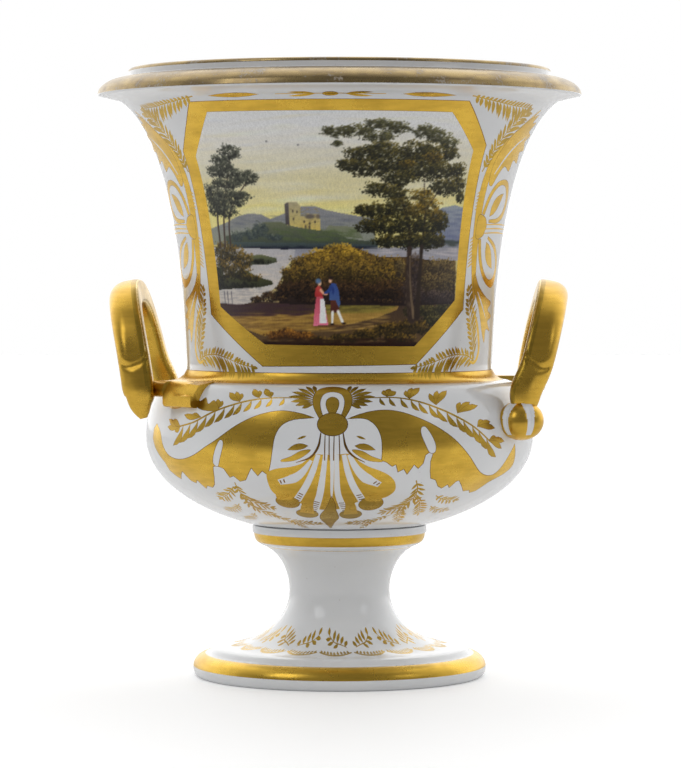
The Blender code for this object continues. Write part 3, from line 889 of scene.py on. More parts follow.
def drawFan():
    # The fan under the bead: one gold shape, white ribbons with hatched ends laid over it, then the bulbs
    drawing = Drawing()
    hatchGap = 1.9
    drawing.add(blob([(2, 73), (8.4, 73.4), (12.5, 69.6), (17, 66.6), (22, 64.4), (27, 61.4), (30.2, 57.4),
        (31.6, 52.4), (30.4, 48.6), (26, 45), (16, 44), (6, 36), (-4, 34), (-12, 36), (-20, 42), (-28, 46),
        (-31, 50.6), (-31.4, 57), (-30.6, 62.6), (-26, 65.2), (-19, 66.4), (-13, 68.6), (-8, 73), (-3, 73)], 3))
    for path, widths in (([(0.4, 73), (0.2, 62), (-0.2, 52), (-0.6, 44)], (2.0, 1.6, 1.4, 0.5)),
                         ([(7.8, 73), (11.4, 65.6), (16.4, 59.6), (23, 55.6)], (1.8, 3.6, 5.6, 3.4)),
                         ([(5.6, 73), (7.4, 64), (10.6, 54), (16.4, 42)], (2.0, 2.8, 3.6, 4.4)),
                         ([(2.4, 73), (2.4, 62), (3.0, 48), (7.2, 31)], (1.9, 2.4, 3.2, 4.8)),
                         ([(-2.6, 73), (-4.0, 62), (-6.6, 48), (-11.8, 32)], (2.0, 2.6, 3.8, 5.4)),
                         ([(-5.8, 73), (-8.6, 64), (-13, 54), (-19.4, 43)], (2.0, 2.8, 3.4, 4.2)),
                         ([(-9, 70), (-13.4, 63.6), (-18.4, 59.4), (-25.6, 57)], (1.4, 3.4, 5.2, 3.4))):
        drawing.add(ribbon(path, widths, 4), "glaze")
        start, end = Vector(path[2]), Vector(path[3])
        way = (end - start).normalized()
        across = Vector((-way.y, way.x)) * widths[3] * 0.30
        for k in range(int((end - start).length * 0.7 / hatchGap)):
            spot = end - way * (1.2 + k * hatchGap)
            drawing.add(ribbon([spot - across, spot + across + way * 0.5], (0.7, 0.7), 1), "edge")
    for column, widths in (([(4.6, 60), (6.6, 50), (9.4, 40), (10.8, 31)], (0.8, 3.0, 5.4, 7.6)),
                           ([(-6.4, 60), (-9.4, 50), (-13.6, 41), (-16.2, 32)], (0.8, 3.0, 6.0, 8.0))):
        drawing.add(ribbon(column, widths))
    for centre, radii in (((21, 40), (6.7, 6.5)), ((10.6, 28.4), (6.9, 5.6)), ((-25, 41.4), (6.5, 5.6)),
                          ((-16.6, 29.2), (6.8, 5.2))):
        drawing.lined(disc(centre, radii), 0.3, "leafGilt")
    for neck in ([(17.4, 48), (25, 49), (25.6, 43), (18, 43)], [(-21.4, 49), (-28.6, 50), (-29.6, 44), (-22, 44)]):
        drawing.add(blob(neck, 3))
    for neck, widths in (([(9.6, 36), (10.6, 29)], (6.0, 9.0)), ([(-14.6, 37), (-16.4, 30)], (6.6, 9.0))):
        drawing.add(ribbon(neck, widths))
    for path in ([(-4.6, 84), (-5.8, 77), (-9.4, 71.6), (-16, 68.8)], [(5.2, 84), (6.4, 77), (9.6, 72.4), (15, 69)]):
        drawing.add(ribbon(path, (0.5, 1.1, 1.0, 0.3)), "edge")
    for start, end in ((-2.7, -3.0), (-0.9, -1.0), (1.3, 1.0), (3.4, 3.8)):
        drawing.add(ribbon([(start, 84), ((start + end) / 2, 78), (end, 70)], (0.35, 0.5, 0.5)), "edge")
    for side in (-1, 1):
        drawing.lined(leaf((side * 10.4, 77.4), (side * 19.4, 75.4), 3.0, 0.05 * side), 0.15)
        hook = [(9.2, 75.4), (12.4, 72.2), (17, 69.8), (22.4, 69.2), (22.4, 70.2), (18, 72.0), (13.6, 74.8)]
        drawing.lined(blob([(side * x, s) for x, s in hook], 3), 0.15)
        drawing.add(leaf((side * 11, 82.4), (side * 15.4, 80.6), 1.2))
    return drawing


def drawCrest():
    # Bead, horseshoe and drop above the fan, with a feather tuft on either side
    drawing = Drawing()
    for side in (-1, 1):
        for k, (reach, rise) in enumerate(((9.4, 110.4), (13, 109.6), (16.6, 107.8), (19.2, 105.4), (20.4, 102.6),
                                           (19, 99.8), (16.6, 97.8), (13.4, 96.4))):
            drawing.lined(leaf((side * 7.6, 103.4 - k * 0.7), (side * reach, rise), 1.9, 0.05 * side, 0.66),
                0.12, "leafGilt")
    drawing.lined(ribbon([(-4.4, 91), (-6.6, 97), (-6.8, 102), (-4.6, 106), (0.4, 107.6), (5.4, 106), (7.6, 102),
        (7.2, 97), (4.8, 91)], (1.6, 2.8, 3.6, 3.8, 3.8, 3.8, 3.6, 2.8, 1.6), 4), 0.25)
    drawing.lined(blob([(0.4, 102.4), (2.8, 101), (3.2, 97.6), (1.6, 93.4), (0.4, 90.6), (-0.8, 93.4), (-2.4, 97.6),
        (-2, 101)], 3), 0.25)
    drawing.lined(disc((0.5, 88.2), (6.6, 5.6), 28), 0.35)
    return drawing


def drawPendant():
    drawing = Drawing()
    drawing.lined(blob([(-0.6, 46), (1.2, 40), (1.4, 34), (2.6, 28.6), (3, 24), (1.6, 20.4), (-0.8, 15), (-2.8, 9),
        (-4.4, 5), (-5.8, 10), (-7.2, 15.6), (-9, 20.6), (-9.2, 25), (-7.6, 29.6), (-4.4, 35), (-2.2, 41)], 3),
        0.3, "leafGilt")
    return drawing


def drawBowl():
    # The front keeps the two slightly different sides of the photograph, the back repeats the right-hand one
    drawing = Drawing()
    for part in (drawUndergrowth(1), drawUndergrowth(-1), drawWing(), drawLeftWing(), rightSprig(), leftSprig()):
        drawing.merge(part)
    back = math.pi * wallTurning["arc"]
    for flip in (False, True):
        for part in (drawUndergrowth(1), drawWing(), rightSprig()):
            drawing.merge(part, flip, back)
    for shift in (0.0, back):
        for part in (drawFan(), drawPendant(), drawCrest()):
            drawing.merge(part, shift=shift)
    return drawing


bodyDrawing = drawBell()
bodyDrawing.merge(drawBowl())
bodyFinishNames = ["glaze", "gilt", "leafGilt", "edge", "wornGilt"]
lipGilding = {"inner": 0.1095, "line": 0.1125, "ringTop": 0.0018, "slack": 0.0002}


def mouthFinish(radius, height):
    # Worn gold over the lip down to a brown line at the ring's foot, and gold again on the ring's top
    slack = lipGilding["slack"]
    if bodyLevel["edge"] - slack < height < bodyLevel["ring"] + slack and radius > lipGilding["inner"]:
        return "wornGilt" if radius > lipGilding["line"] else "edge"
    return "wornGilt" if height > bodyLevel["top"] - lipGilding["ringTop"] else "glaze"


def buildBody():
    wall = drawnWall("vaseBody", bodyOutline, bodyDrawing, bodyFinishNames)
    mouth = bodyMouthPoints(bodyShape, bodyLevel) + bodyInsidePoints(bodyShape, bodyLevel)
    base = [(bodyShape["jointRadius"] * share, bodyShape["joint"]) for share in (0, 0.5, 1)]
    parts = [wall, spunShell("vaseMouth", mouth, bodyFinishNames, mouthFinish),
             spunShell("vaseBase", base, bodyFinishNames, lambda radius, height: "glaze")]
    piece = joinTurned(parts, "vaseBody", [bodyOutline, outlineTable(mouth), outlineTable(base)])
    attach(piece, "root")
    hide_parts("body")
    print("body:", len(piece.data.polygons), "faces")


buildBody()


# Painted panel: a river landscape in enamels, laid down wash by wash and dab by dab
panelShape = {"left": -75.6, "right": 75.6, "bottom": 135.6, "top": 258.8, "grid": 0.445, "canvas": 0.36,
              "lift": 0.00005, "gain": 1.66, "contrast": 1.25, "darkest": 0.003, "lightest": 0.9, "seed": 41,
              "corners": frameInside}


sunSide = (0.35, 0.8)


class Canvas:
    # Colours in the eye's own scale, x across and s up, both in mm
    def __init__(self, shape):
        self.step = shape["canvas"]
        self.xs = np.arange(shape["left"], shape["right"], self.step)
        self.ss = np.arange(shape["bottom"], shape["top"], self.step)
        self.paint = np.zeros((len(self.ss), len(self.xs), 3))
        self.dice = random.Random(shape["seed"])

    def window(self, x, s, reach):
        i0 = max(0, int((x - reach - self.xs[0]) / self.step))
        i1 = min(len(self.xs), int((x + reach - self.xs[0]) / self.step) + 2)
        j0 = max(0, int((s - reach - self.ss[0]) / self.step))
        j1 = min(len(self.ss), int((s + reach - self.ss[0]) / self.step) + 2)
        return i0, i1, j0, j1

    def wash(self, stops):
        levels = [stop[0] for stop in stops]
        for k in range(3):
            self.paint[:, :, k] = np.interp(self.ss, levels, [stop[1][k] for stop in stops])[:, None]

    def dab(self, x, s, across, up, colour, strength=1.0, turn=0.0, soft=0.35):
        i0, i1, j0, j1 = self.window(x, s, max(across, up) * (1 + soft) + self.step)
        if i0 >= i1 or j0 >= j1:
            return
        u, v = self.xs[i0:i1][None, :] - x, self.ss[j0:j1][:, None] - s
        if turn:
            u, v = u * math.cos(turn) + v * math.sin(turn), -u * math.sin(turn) + v * math.cos(turn)
        reach = np.sqrt((u / across) ** 2 + (v / up) ** 2)
        cover = np.clip((1 + soft - reach) / (2 * soft), 0, 1)[:, :, None] * strength
        self.paint[j0:j1, i0:i1] = self.paint[j0:j1, i0:i1] * (1 - cover) + np.array(colour, float) * cover

    def area(self, points, top, bottom=None, strength=1.0):
        ss = [p[1] for p in points]
        inside = np.zeros((len(self.ss), len(self.xs)), bool)
        gridX, gridS = self.xs[None, :], self.ss[:, None]
        for (x0, s0), (x1, s1) in zip(points, points[1:] + points[:1]):
            if s0 == s1:
                continue
            crosses = (gridS >= min(s0, s1)) & (gridS < max(s0, s1))
            inside ^= crosses & (gridX < (x1 - x0) * (gridS - s0) / (s1 - s0) + x0)
        share = np.clip((gridS - min(ss)) / (max(ss) - min(ss)), 0, 1)[:, :, None]
        colour = np.array(bottom or top, float) * (1 - share) + np.array(top, float) * share
        cover = inside[:, :, None] * strength
        self.paint = self.paint * (1 - cover) + colour * cover

    def stroke(self, points, widths, colour, strength=1.0):
        path = curveThrough(points, 6)
        for i, spot in enumerate(path):
            half = float(np.interp(i / (len(path) - 1), np.linspace(0, 1, len(widths)), widths)) / 2
            ahead = path[min(i + 1, len(path) - 1)]
            for k in range(3):
                place = spot + (ahead - spot) * k / 3
                self.dab(place.x, place.y, half, half, colour, strength, soft=0.5)

    def foliage(self, lobes, dark, middle, light, fine, density):
        # Dark underlayer first, then leaf dabs that turn lighter towards the sun side of each clump
        dice = self.dice
        for x, s, across, up in lobes:
            for _ in range(int(6 + across * up * 0.55)):
                angle, reach = dice.uniform(0, math.tau), math.sqrt(dice.random()) * 0.8
                self.dab(x + across * reach * math.cos(angle), s + up * reach * math.sin(angle),
                         fine * 2.2, fine * 1.6, dark, 0.8, dice.uniform(-0.5, 0.5), 0.6)
        for x, s, across, up in lobes:
            for _ in range(int(across * up * density * 3.1)):
                angle = dice.uniform(0, math.tau)
                reach = math.sqrt(dice.random()) * dice.uniform(0.8, 1.22) * (1 + 0.12 * math.sin(angle * 5 + x))
                u, v = reach * math.cos(angle), reach * math.sin(angle)
                glow = (u * sunSide[0] + v * sunSide[1]) * 0.62 + 0.42 + dice.uniform(-0.42, 0.42)
                low, high, share = (dark, middle, glow * 2) if glow < 0.5 else (middle, light, glow * 2 - 1)
                share = min(1, max(0, share))
                colour = [a + (b - a) * share for a, b in zip(low, high)]
                self.dab(x + across * u, s + up * v, fine * dice.uniform(0.6, 1.2), fine * dice.uniform(0.4, 0.8),
                         colour, 0.85, dice.uniform(-0.9, 0.9), 0.45)

    def hatch(self, box, colour, count, length, width, strength, lean=0.0):
        for _ in range(count):
            x, s = self.dice.uniform(box[0], box[1]), self.dice.uniform(box[2], box[3])
            self.dab(x, s, length * self.dice.uniform(0.5, 1.2), width, colour, strength, lean, 0.6)


def paintSky(canvas):
    canvas.wash([(136, (150, 130, 90)), (196, (205, 196, 140)), (206, (208, 198, 138)), (216, (200, 192, 152)),
                 (228, (200, 195, 172)), (240, (204, 201, 192)), (250, (206, 206, 206)), (258, (206, 209, 216))])
    for _ in range(240):
        x, s = canvas.dice.uniform(-74, 74), canvas.dice.uniform(204, 257)
        tone = canvas.dice.choice(((214, 213, 208), (190, 188, 184), (212, 204, 176), (198, 200, 208)))
        canvas.dab(x, s, canvas.dice.uniform(5, 15), canvas.dice.uniform(0.5, 1.5), tone, 0.22,
            canvas.dice.uniform(-0.08, 0.12), 0.9)
    for x, s in ((-30.6, 241), (-15.6, 239)):
        canvas.dab(x, s, 0.5, 0.5, (120, 118, 116), 0.9)


def paintDistance(canvas):
    canvas.area([(-74, 196), (-60, 199.5), (-52, 202.6), (-45, 204), (-38, 203.4), (-33, 201), (-28, 202.6),
        (-22, 205), (-15, 207.6), (-9, 207.4), (-3, 205.4), (3, 204.2), (12, 202.6), (22, 201), (22, 188),
        (-74, 188)], (136, 136, 142), (138, 142, 128))
    canvas.area([(55, 205), (60, 207), (68, 208.4), (75, 207), (75, 184), (55, 184)], (146, 152, 158),
        (118, 124, 146))
    canvas.hatch((-60, 20, 196, 203), (112, 114, 124), 90, 3.2, 0.4, 0.35, -0.05)
    canvas.hatch((56, 75, 188, 206), (104, 110, 136), 50, 3.2, 0.5, 0.35)
    canvas.area([(-2, 197.6), (12, 197), (16, 191), (-6, 192.5)], (126, 130, 102), (104, 112, 88), 0.7)
    canvas.area([(-36, 199.6), (-27, 199.4), (-20, 197), (-8, 195.4), (2, 194), (8, 191), (24, 189), (24, 187),
        (-62, 187), (-62, 192.5), (-46, 195)], (112, 116, 94), (72, 80, 72))
    canvas.hatch((-30, 12, 190, 196), (92, 104, 72), 110, 2.0, 0.4, 0.5, -0.12)
    canvas.foliage([(-39, 195.4, 5.0, 4.2), (-46, 193.6, 4.6, 3.2), (-54, 192.4, 5, 2.6), (-31, 192, 5, 1.8)],
                   (66, 74, 76), (88, 96, 92), (112, 118, 104), 0.55, 1.6)
    canvas.area([(-62, 189.6), (-20, 189), (24, 188), (24, 184.6), (-4, 185.4), (-50, 185.6), (-62, 186.6)],
        (84, 96, 92), (52, 58, 70))
    canvas.hatch((-50, 22, 184.8, 187), (44, 48, 62), 120, 2.4, 0.35, 0.6)
    canvas.area([(-24, 186), (24, 186), (75, 189), (75, 180), (-24, 180)], (126, 128, 136), (158, 156, 164))
    canvas.hatch((20, 75, 187.4, 190.4), (70, 78, 74), 90, 3.0, 0.4, 0.55)
    canvas.hatch((22, 75, 182, 187), (184, 178, 178), 60, 4.0, 0.4, 0.4)


def paintRuin(canvas):
    canvas.area([(-24.6, 208.6), (-23, 209.6), (-18, 209.4), (-16.4, 207.8), (-16.6, 196.6), (-24.6, 198)],
        (164, 156, 132), (186, 172, 112))
    canvas.area([(-24.6, 208.6), (-22.6, 209.4), (-22.4, 197.8), (-24.6, 198)], (104, 98, 96), (84, 80, 82))
    canvas.area([(-16.6, 202.4), (-13.6, 202.6), (-13, 204), (-10.6, 203.4), (-6.6, 203.6), (-6.2, 195),
        (-16.6, 196.6)], (172, 160, 124), (190, 172, 104))
    canvas.dab(-11.6, 202.2, 2.6, 1.2, (98, 92, 92), 0.85)
    canvas.dab(-7.4, 202.2, 1.1, 1.1, (104, 96, 96), 0.8)
    for x, s, across, up in ((-20.4, 205, 0.4, 0.8), (-20.2, 201, 0.4, 0.7), (-18.2, 204.6, 0.35, 0.7),
                             (-14.6, 199.6, 0.5, 0.7), (-11.8, 198.6, 0.5, 0.7), (-9, 199.4, 0.5, 0.7),
                             (-14, 197, 0.4, 0.8), (-12, 196.8, 0.5, 0.9)):
        canvas.dab(x, s, across, up, (70, 64, 66), 0.85)
    canvas.hatch((-22, -7, 196, 208), (142, 130, 96), 60, 0.7, 0.25, 0.5)


def paintWater(canvas):
    canvas.area([(-74, 187), (-20, 185.4), (-21, 181), (-26, 176.5), (-28.5, 171), (-32, 166), (-41, 162), (-50, 158),
        (-58, 156.6), (-74, 155)], (170, 168, 170), (186, 180, 172))
    canvas.hatch((-70, -22, 160, 185), (198, 188, 176), 80, 4.0, 0.4, 0.4)
    canvas.hatch((-70, -34, 158, 168), (138, 136, 140), 70, 2.4, 0.3, 0.45)
    for x in (-67, -64.5, -61.5):
        canvas.stroke([(x, 164), (x + 0.2, 157.5)], (0.9, 0.5), (104, 102, 108), 0.6)
    canvas.area([(-48, 182.4), (-40, 183), (-31, 181.2), (-30.5, 179.2), (-36, 178), (-46, 178)], (112, 116, 84),
        (70, 74, 62))
    canvas.area([(-72, 172), (-50, 175), (-42, 171.5), (-34, 169.6), (-33.6, 167.8), (-42, 166.4), (-58, 165.6),
        (-72, 165)], (96, 96, 58), (50, 52, 44))
    canvas.foliage([(-66, 184, 6.5, 5.6), (-58, 183.4, 7, 5), (-51, 180, 5.6, 4.6), (-66, 175, 6.6, 6),
        (-56, 175, 8, 4.4), (-47, 171.4, 7, 1.8)], (40, 38, 30), (84, 74, 42), (140, 114, 56), 0.5, 2.6)
    canvas.foliage([(-64, 167.4, 8, 1.6), (-50, 167.6, 9, 1.3), (-70, 172, 3.4, 6), (-39, 179.4, 6.6, 1.0)],
        (34, 34, 30), (54, 56, 44), (84, 86, 58), 0.45, 2.2)


def paintLeftTrees(canvas):
    wood = (78, 66, 60)
    canvas.stroke([(-66.8, 187), (-66.6, 200), (-65, 210), (-62, 222)], (1.3, 1.0, 0.6), wood)
    canvas.stroke([(-63.2, 187), (-62.4, 198), (-60, 210), (-54, 226), (-52, 234)], (1.2, 1.0, 0.8, 0.5), wood)
    canvas.stroke([(-59.2, 188), (-58.8, 198), (-56, 206), (-48, 216), (-44, 220)], (1.0, 0.8, 0.5), wood)
    canvas.foliage([(-51.5, 235.6, 6.2, 4.2), (-58.5, 231.6, 6, 2.6), (-61.5, 226, 7, 3.4), (-53, 224.4, 7.4, 3.2),
        (-42.4, 222.6, 4.8, 3.6), (-47.5, 220.6, 6, 2.4), (-66.5, 214.4, 7, 5), (-57, 213.4, 8, 3.2),
        (-48.4, 212.6, 5.8, 2.8), (-67, 206.4, 5.6, 3.6), (-59, 205.4, 7.4, 3.2), (-56, 228.4, 5, 2.4),
        (-54, 219, 6, 2.6), (-62, 220, 5, 2.4), (-64, 210, 7, 3), (-52, 209.4, 5, 2)], (44, 46, 42), (74, 76, 66),
        (110, 112, 96), 0.44, 3.4)


def paintCopse(canvas):
    canvas.area([(-32, 163), (-26, 172), (-20, 180), (-10, 184), (4, 188), (14, 186), (24, 182), (40, 182), (56, 180),
        (73, 180), (75, 158), (40, 157), (-30, 158)], (104, 84, 50), (48, 38, 38))
    canvas.foliage([(3, 184.4, 9, 4.4), (-7, 181, 9, 4.4), (11, 182, 8, 4)], (78, 64, 32), (140, 116, 50),
        (200, 166, 70), 0.48, 3.0)
    canvas.foliage([(-17, 178, 6.6, 4.6), (-23, 172.4, 5.6, 4.8), (22, 178.4, 8, 4.4), (33, 178, 7, 4),
        (0, 175, 12, 6), (14, 174, 11, 6.4), (28, 172, 10, 6), (-12, 173, 9, 6)], (52, 44, 28), (102, 86, 46),
        (160, 130, 60), 0.48, 2.8)
    canvas.foliage([(-27, 164.6, 6, 4), (-16, 165, 9, 5.4), (-2, 165, 12, 5), (14, 165, 12, 5), (30, 164.6, 11, 5.4),
        (-36, 161.6, 5, 2.6), (-44, 160.2, 4, 1.6)], (36, 29, 26), (66, 50, 38), (104, 80, 50), 0.48, 2.8)
    canvas.foliage([(56, 176.6, 6.4, 4), (65, 176.4, 7, 4.6), (55, 169, 6, 5), (66, 168, 7.6, 6), (37, 176, 3, 5),
        (71, 172, 3.4, 7)], (58, 50, 42), (102, 88, 58), (148, 128, 80), 0.48, 2.6)
    canvas.foliage([(58, 161.6, 9, 3.4), (68, 161, 6, 3.6), (45, 164, 6, 7), (46, 176, 3, 7)], (50, 42, 44),
        (78, 66, 64), (106, 92, 82), 0.48, 2.4)


def paintBigTrees(canvas):
    wood = (66, 54, 46)
    for path, widths in (([(42, 184), (40.5, 198), (35, 212), (30, 228), (26, 240)], (2.0, 1.3, 0.8, 0.4)),
                         ([(49, 184), (49.5, 200), (47, 220), (46, 240)], (1.7, 1.2, 0.7, 0.4)),
                         ([(36, 210), (24, 222), (12, 232)], (0.9, 0.6, 0.3)),
                         ([(49, 205), (58, 218), (66, 226)], (0.9, 0.6, 0.3))):
        canvas.stroke(path, widths, wood)
    canvas.foliage([(3, 246, 7.6, 3.0), (12, 246.6, 8, 3.4), (20, 250.4, 6, 3), (29, 248.4, 6.6, 3.6),
        (21, 243.4, 8, 3), (2.4, 239.6, 2.6, 1.6), (43, 246.6, 6.4, 3.6), (50, 244, 6.6, 3.8), (57, 240.6, 5.6, 3.4)],
        (52, 52, 36), (84, 82, 54), (122, 118, 78), 0.46, 2.6)
    canvas.foliage([(14, 234, 8.6, 4.2), (24, 236.4, 9, 4.6), (8, 228.4, 6, 3.4), (19, 227, 11, 5),
        (31, 231, 11, 6.4), (41, 236, 9, 5.4), (51, 234, 9, 5.6), (60, 235, 4.6, 3.2), (44, 226.6, 11, 6),
        (56, 226, 9, 5), (66, 226.4, 5, 4.4), (34, 222, 9, 4.6), (67.4, 218.6, 5.4, 4.6), (59, 217.4, 9, 4.6),
        (70.6, 212.4, 2.6, 3.4), (22.4, 216, 7, 3.6), (31, 214.4, 8, 3.6)], (32, 32, 20), (64, 62, 34),
        (118, 106, 54), 0.48, 2.8)
    canvas.foliage([(16, 205.4, 5.6, 3.0), (24, 204.6, 8, 4.4), (34, 207, 8, 5), (18, 197.4, 6.4, 3.6),
        (28, 197.4, 9, 5.4), (40, 199, 10, 7), (53, 198.6, 9, 7), (60.4, 200, 4.4, 5), (30, 189.6, 8, 3.6),
        (42, 190, 9, 4.4), (54, 190, 8, 4.6), (60, 190, 4, 3.4)], (28, 28, 18), (60, 58, 30),
        (112, 98, 46), 0.48, 2.8)
    canvas.foliage([(46, 213, 7.6, 3.6), (51, 208, 7.6, 4), (43, 206, 6, 3.6), (56, 203, 5, 3.4), (50, 233, 6, 3),
        (37, 229, 4, 2.4)], (60, 54, 26), (114, 96, 40), (166, 138, 58), 0.46, 1.8)
    canvas.stroke([(45.4, 150), (43.4, 160), (42.2, 172), (41.8, 186)], (4.2, 3.2, 2.8, 2.2), (66, 54, 48))
    canvas.stroke([(46.4, 151), (44.4, 161), (43, 172), (42.4, 182)], (1.6, 1.2, 0.9, 0.7), (120, 104, 84), 0.8)
    canvas.stroke([(48.4, 151), (48.8, 165), (49, 187)], (3.0, 2.3, 1.9), (58, 48, 42))
    canvas.hatch((40.6, 46, 152, 184), (96, 82, 70), 50, 0.4, 0.9, 0.5)


def paintGround(canvas):
    canvas.area([(-74, 158.4), (-56, 157.4), (-42, 159.4), (-26, 158.6), (10, 158.4), (40, 158), (75, 159), (75, 135),
        (-74, 135)], (76, 62, 54), (104, 84, 56))
    canvas.area([(-66, 152.6), (-46, 152.4), (-28, 153.4), (-12, 153.4), (6, 153.4), (22, 155.4), (38, 158.6),
        (36, 155), (24, 151), (8, 147.6), (-6, 145), (-22, 144.6), (-40, 141.6), (-54, 145.6)], (146, 122, 72),
        (158, 128, 66))
    canvas.hatch((-60, 30, 144, 153), (176, 146, 84), 170, 4.2, 0.35, 0.4, 0.04)
    canvas.hatch((-60, 0, 145, 154), (112, 88, 56), 150, 3.6, 0.35, 0.4, 0.04)
    canvas.area([(-4, 158), (30, 158.4), (36, 156.4), (16, 153.4), (-4, 153.2)], (96, 92, 54), (122, 112, 60), 0.8)
    canvas.hatch((-4, 34, 153.4, 158), (140, 128, 66), 70, 2.6, 0.35, 0.5, 0.06)
    canvas.hatch((-70, -14, 152, 158), (72, 54, 60), 150, 4.0, 0.4, 0.5)
    canvas.foliage([(44, 154, 4, 3), (56, 154, 9, 4.6), (66, 156, 6, 4), (60, 149, 8, 3.4)], (44, 42, 30),
        (78, 74, 46), (112, 102, 62), 0.6, 1.8)
    canvas.foliage([(-34, 142, 6, 2), (-26, 143, 7, 2.6), (-17, 141.6, 7, 2.4)], (64, 44, 26), (120, 84, 42),
        (166, 122, 56), 0.6, 2.0)
    canvas.foliage([(-4, 139.6, 9, 1.8), (8, 141, 9, 2.4), (20, 142.6, 9, 2.8), (32, 145, 9, 3.6), (44, 146.4, 8, 4),
        (38, 140.6, 10, 2.6), (52, 146, 5, 3.6)], (44, 38, 26), (84, 70, 40), (134, 108, 52), 0.6, 2.0)
    canvas.area([(-41, 139), (-20, 138.8), (10, 138.4), (49, 138.6), (49, 136), (-41, 136)], (52, 34, 28),
        (44, 26, 22))
    canvas.hatch((-40, 46, 137.6, 140.4), (58, 40, 30), 110, 2.6, 0.4, 0.6)


def paintBankFoot(canvas):
    # Low plants along the near bank, over the foot of the copse
    canvas.foliage([(-30, 160.4, 6, 1.4), (-12, 159.6, 9, 1.4), (10, 159.6, 9, 1.2), (28, 159.4, 9, 1.2)],
                   (44, 34, 32), (70, 54, 42), (100, 80, 52), 0.5, 1.6)


def paintStrollers(canvas):
    # Two plain figures, no more than a few touches each
    canvas.dab(-2, 147, 8, 0.8, (92, 68, 50), 0.8)
    canvas.area([(-10.9, 147), (-10.2, 155), (-9, 162.6), (-5.6, 162.6), (-4.2, 156), (-2.6, 147.4)], (176, 84, 96),
        (202, 120, 142))
    canvas.area([(-7.4, 148.2), (-6.9, 160.6), (-4.8, 160.6), (-3.4, 148.4)], (206, 206, 212), (232, 230, 232))
    canvas.area([(-10, 161.6), (-9.6, 165.6), (-8, 167.4), (-6.2, 166.4), (-5.4, 161.6)], (176, 84, 78),
        (160, 60, 62))
    canvas.stroke([(-6.6, 165), (-4.8, 163.2), (-3.2, 163)], (1.2, 0.9, 0.7), (206, 160, 136))
    canvas.dab(-7.2, 168.4, 1.0, 1.2, (220, 182, 152))
    canvas.dab(-7.9, 169.6, 1.5, 1.3, (96, 118, 146))
    canvas.area([(-1.4, 153.4), (-1.2, 160.4), (3.4, 160.4), (3.4, 154)], (98, 62, 50), (84, 48, 42))
    canvas.stroke([(-0.2, 154), (-0.4, 148.6)], (1.3, 1.0), (216, 210, 202))
    canvas.stroke([(2.8, 154.4), (4.8, 150), (5.4, 149)], (1.3, 1.0), (216, 210, 202))
    canvas.dab(-0.4, 147.8, 1.1, 0.5, (50, 38, 36))
    canvas.dab(6, 148.2, 1.2, 0.5, (50, 38, 36))
    canvas.area([(-2, 160), (-2.2, 166.4), (-0.6, 168.6), (1.8, 168.2), (3.2, 164.6), (4.2, 158), (3.2, 156.4),
        (1.4, 160)], (62, 84, 140), (84, 104, 140))
    canvas.stroke([(-0.6, 166.6), (-2.6, 164.4), (-4.2, 163.6)], (1.5, 1.2, 0.9), (56, 76, 130))
    canvas.dab(0.2, 164.6, 0.6, 1.6, (40, 56, 108), 0.6)
    canvas.dab(-1.4, 169.8, 0.9, 1.1, (214, 174, 146))
    canvas.dab(-1.0, 171.2, 1.3, 0.9, (52, 42, 40))


def paintLandscape(shape):
    canvas = Canvas(shape)
    for step in (paintSky, paintDistance, paintRuin, paintWater, paintLeftTrees, paintGround, paintCopse,
                 paintBigTrees, paintBankFoot, paintStrollers):
        step(canvas)
    return canvas


def enamelFinish():
    # Pigment from the piece's own attribute, with the fine grain of the stippled brush
    finish, tree, shader = newFinish("enamelPainting")
    pigment = tree.nodes.new("ShaderNodeAttribute")
    pigment.attribute_name = "pigment"
    grain = rangeNode(tree, noiseNode(tree, 1500.0, 2.0, 0.6), 0.3, 0.7, 0.91, 1.08)
    wisp = rangeNode(tree, noiseNode(tree, 700.0, 2.0, 0.5, (1.6, 1.6, 0.35)), 0.3, 0.7, 0.94, 1.06)
    lift = tree.nodes.new("ShaderNodeVectorMath")
    lift.operation = "SCALE"
    feed(tree, lift.inputs[0], pigment.outputs["Color"])
    feed(tree, lift.inputs["Scale"], mathNode(tree, "MULTIPLY", grain, wisp))
    feed(tree, shader.inputs["Base Color"], lift.outputs["Vector"])
    feed(tree, shader.inputs["Roughness"], rangeNode(tree, noiseNode(tree, 300.0, 2.0), 0.3, 0.7, 0.12, 0.24))
    shader.inputs["IOR"].default_value = 1.5
    shader.inputs["Specular IOR Level"].default_value = 0.3
    bumpFrom(tree, shader, noiseNode(tree, 500.0, 2.0), 0.00003)
    return finish


def cutPanelGrid(shape):
    # A flat grid, cut to the frame's eight sides
    wide, tall = shape["right"] - shape["left"], shape["top"] - shape["bottom"]
    columns, rows = int(wide / shape["grid"]), int(tall / shape["grid"])
    pickOnly()
    bpy.ops.mesh.primitive_grid_add(x_subdivisions=columns, y_subdivisions=rows, size=1.0)
    panel = namedNew("landscapePanel")
    editWhole(panel)
    bpy.ops.transform.resize(value=(wide, tall, 1))
    bpy.ops.transform.translate(value=((shape["left"] + shape["right"]) / 2, (shape["bottom"] + shape["top"]) / 2, 0))
    corners = shape["corners"]
    for (x0, s0), (x1, s1) in zip(corners, corners[1:] + corners[:1]):
        bpy.ops.mesh.select_all(action="SELECT")
        outward = Vector((s0 - s1, x1 - x0, 0)).normalized()
        bpy.ops.mesh.bisect(plane_co=(x0, s0, 0), plane_no=outward, clear_outer=True, clear_inner=False)
    bpy.ops.object.mode_set(mode="OBJECT")
    return panel


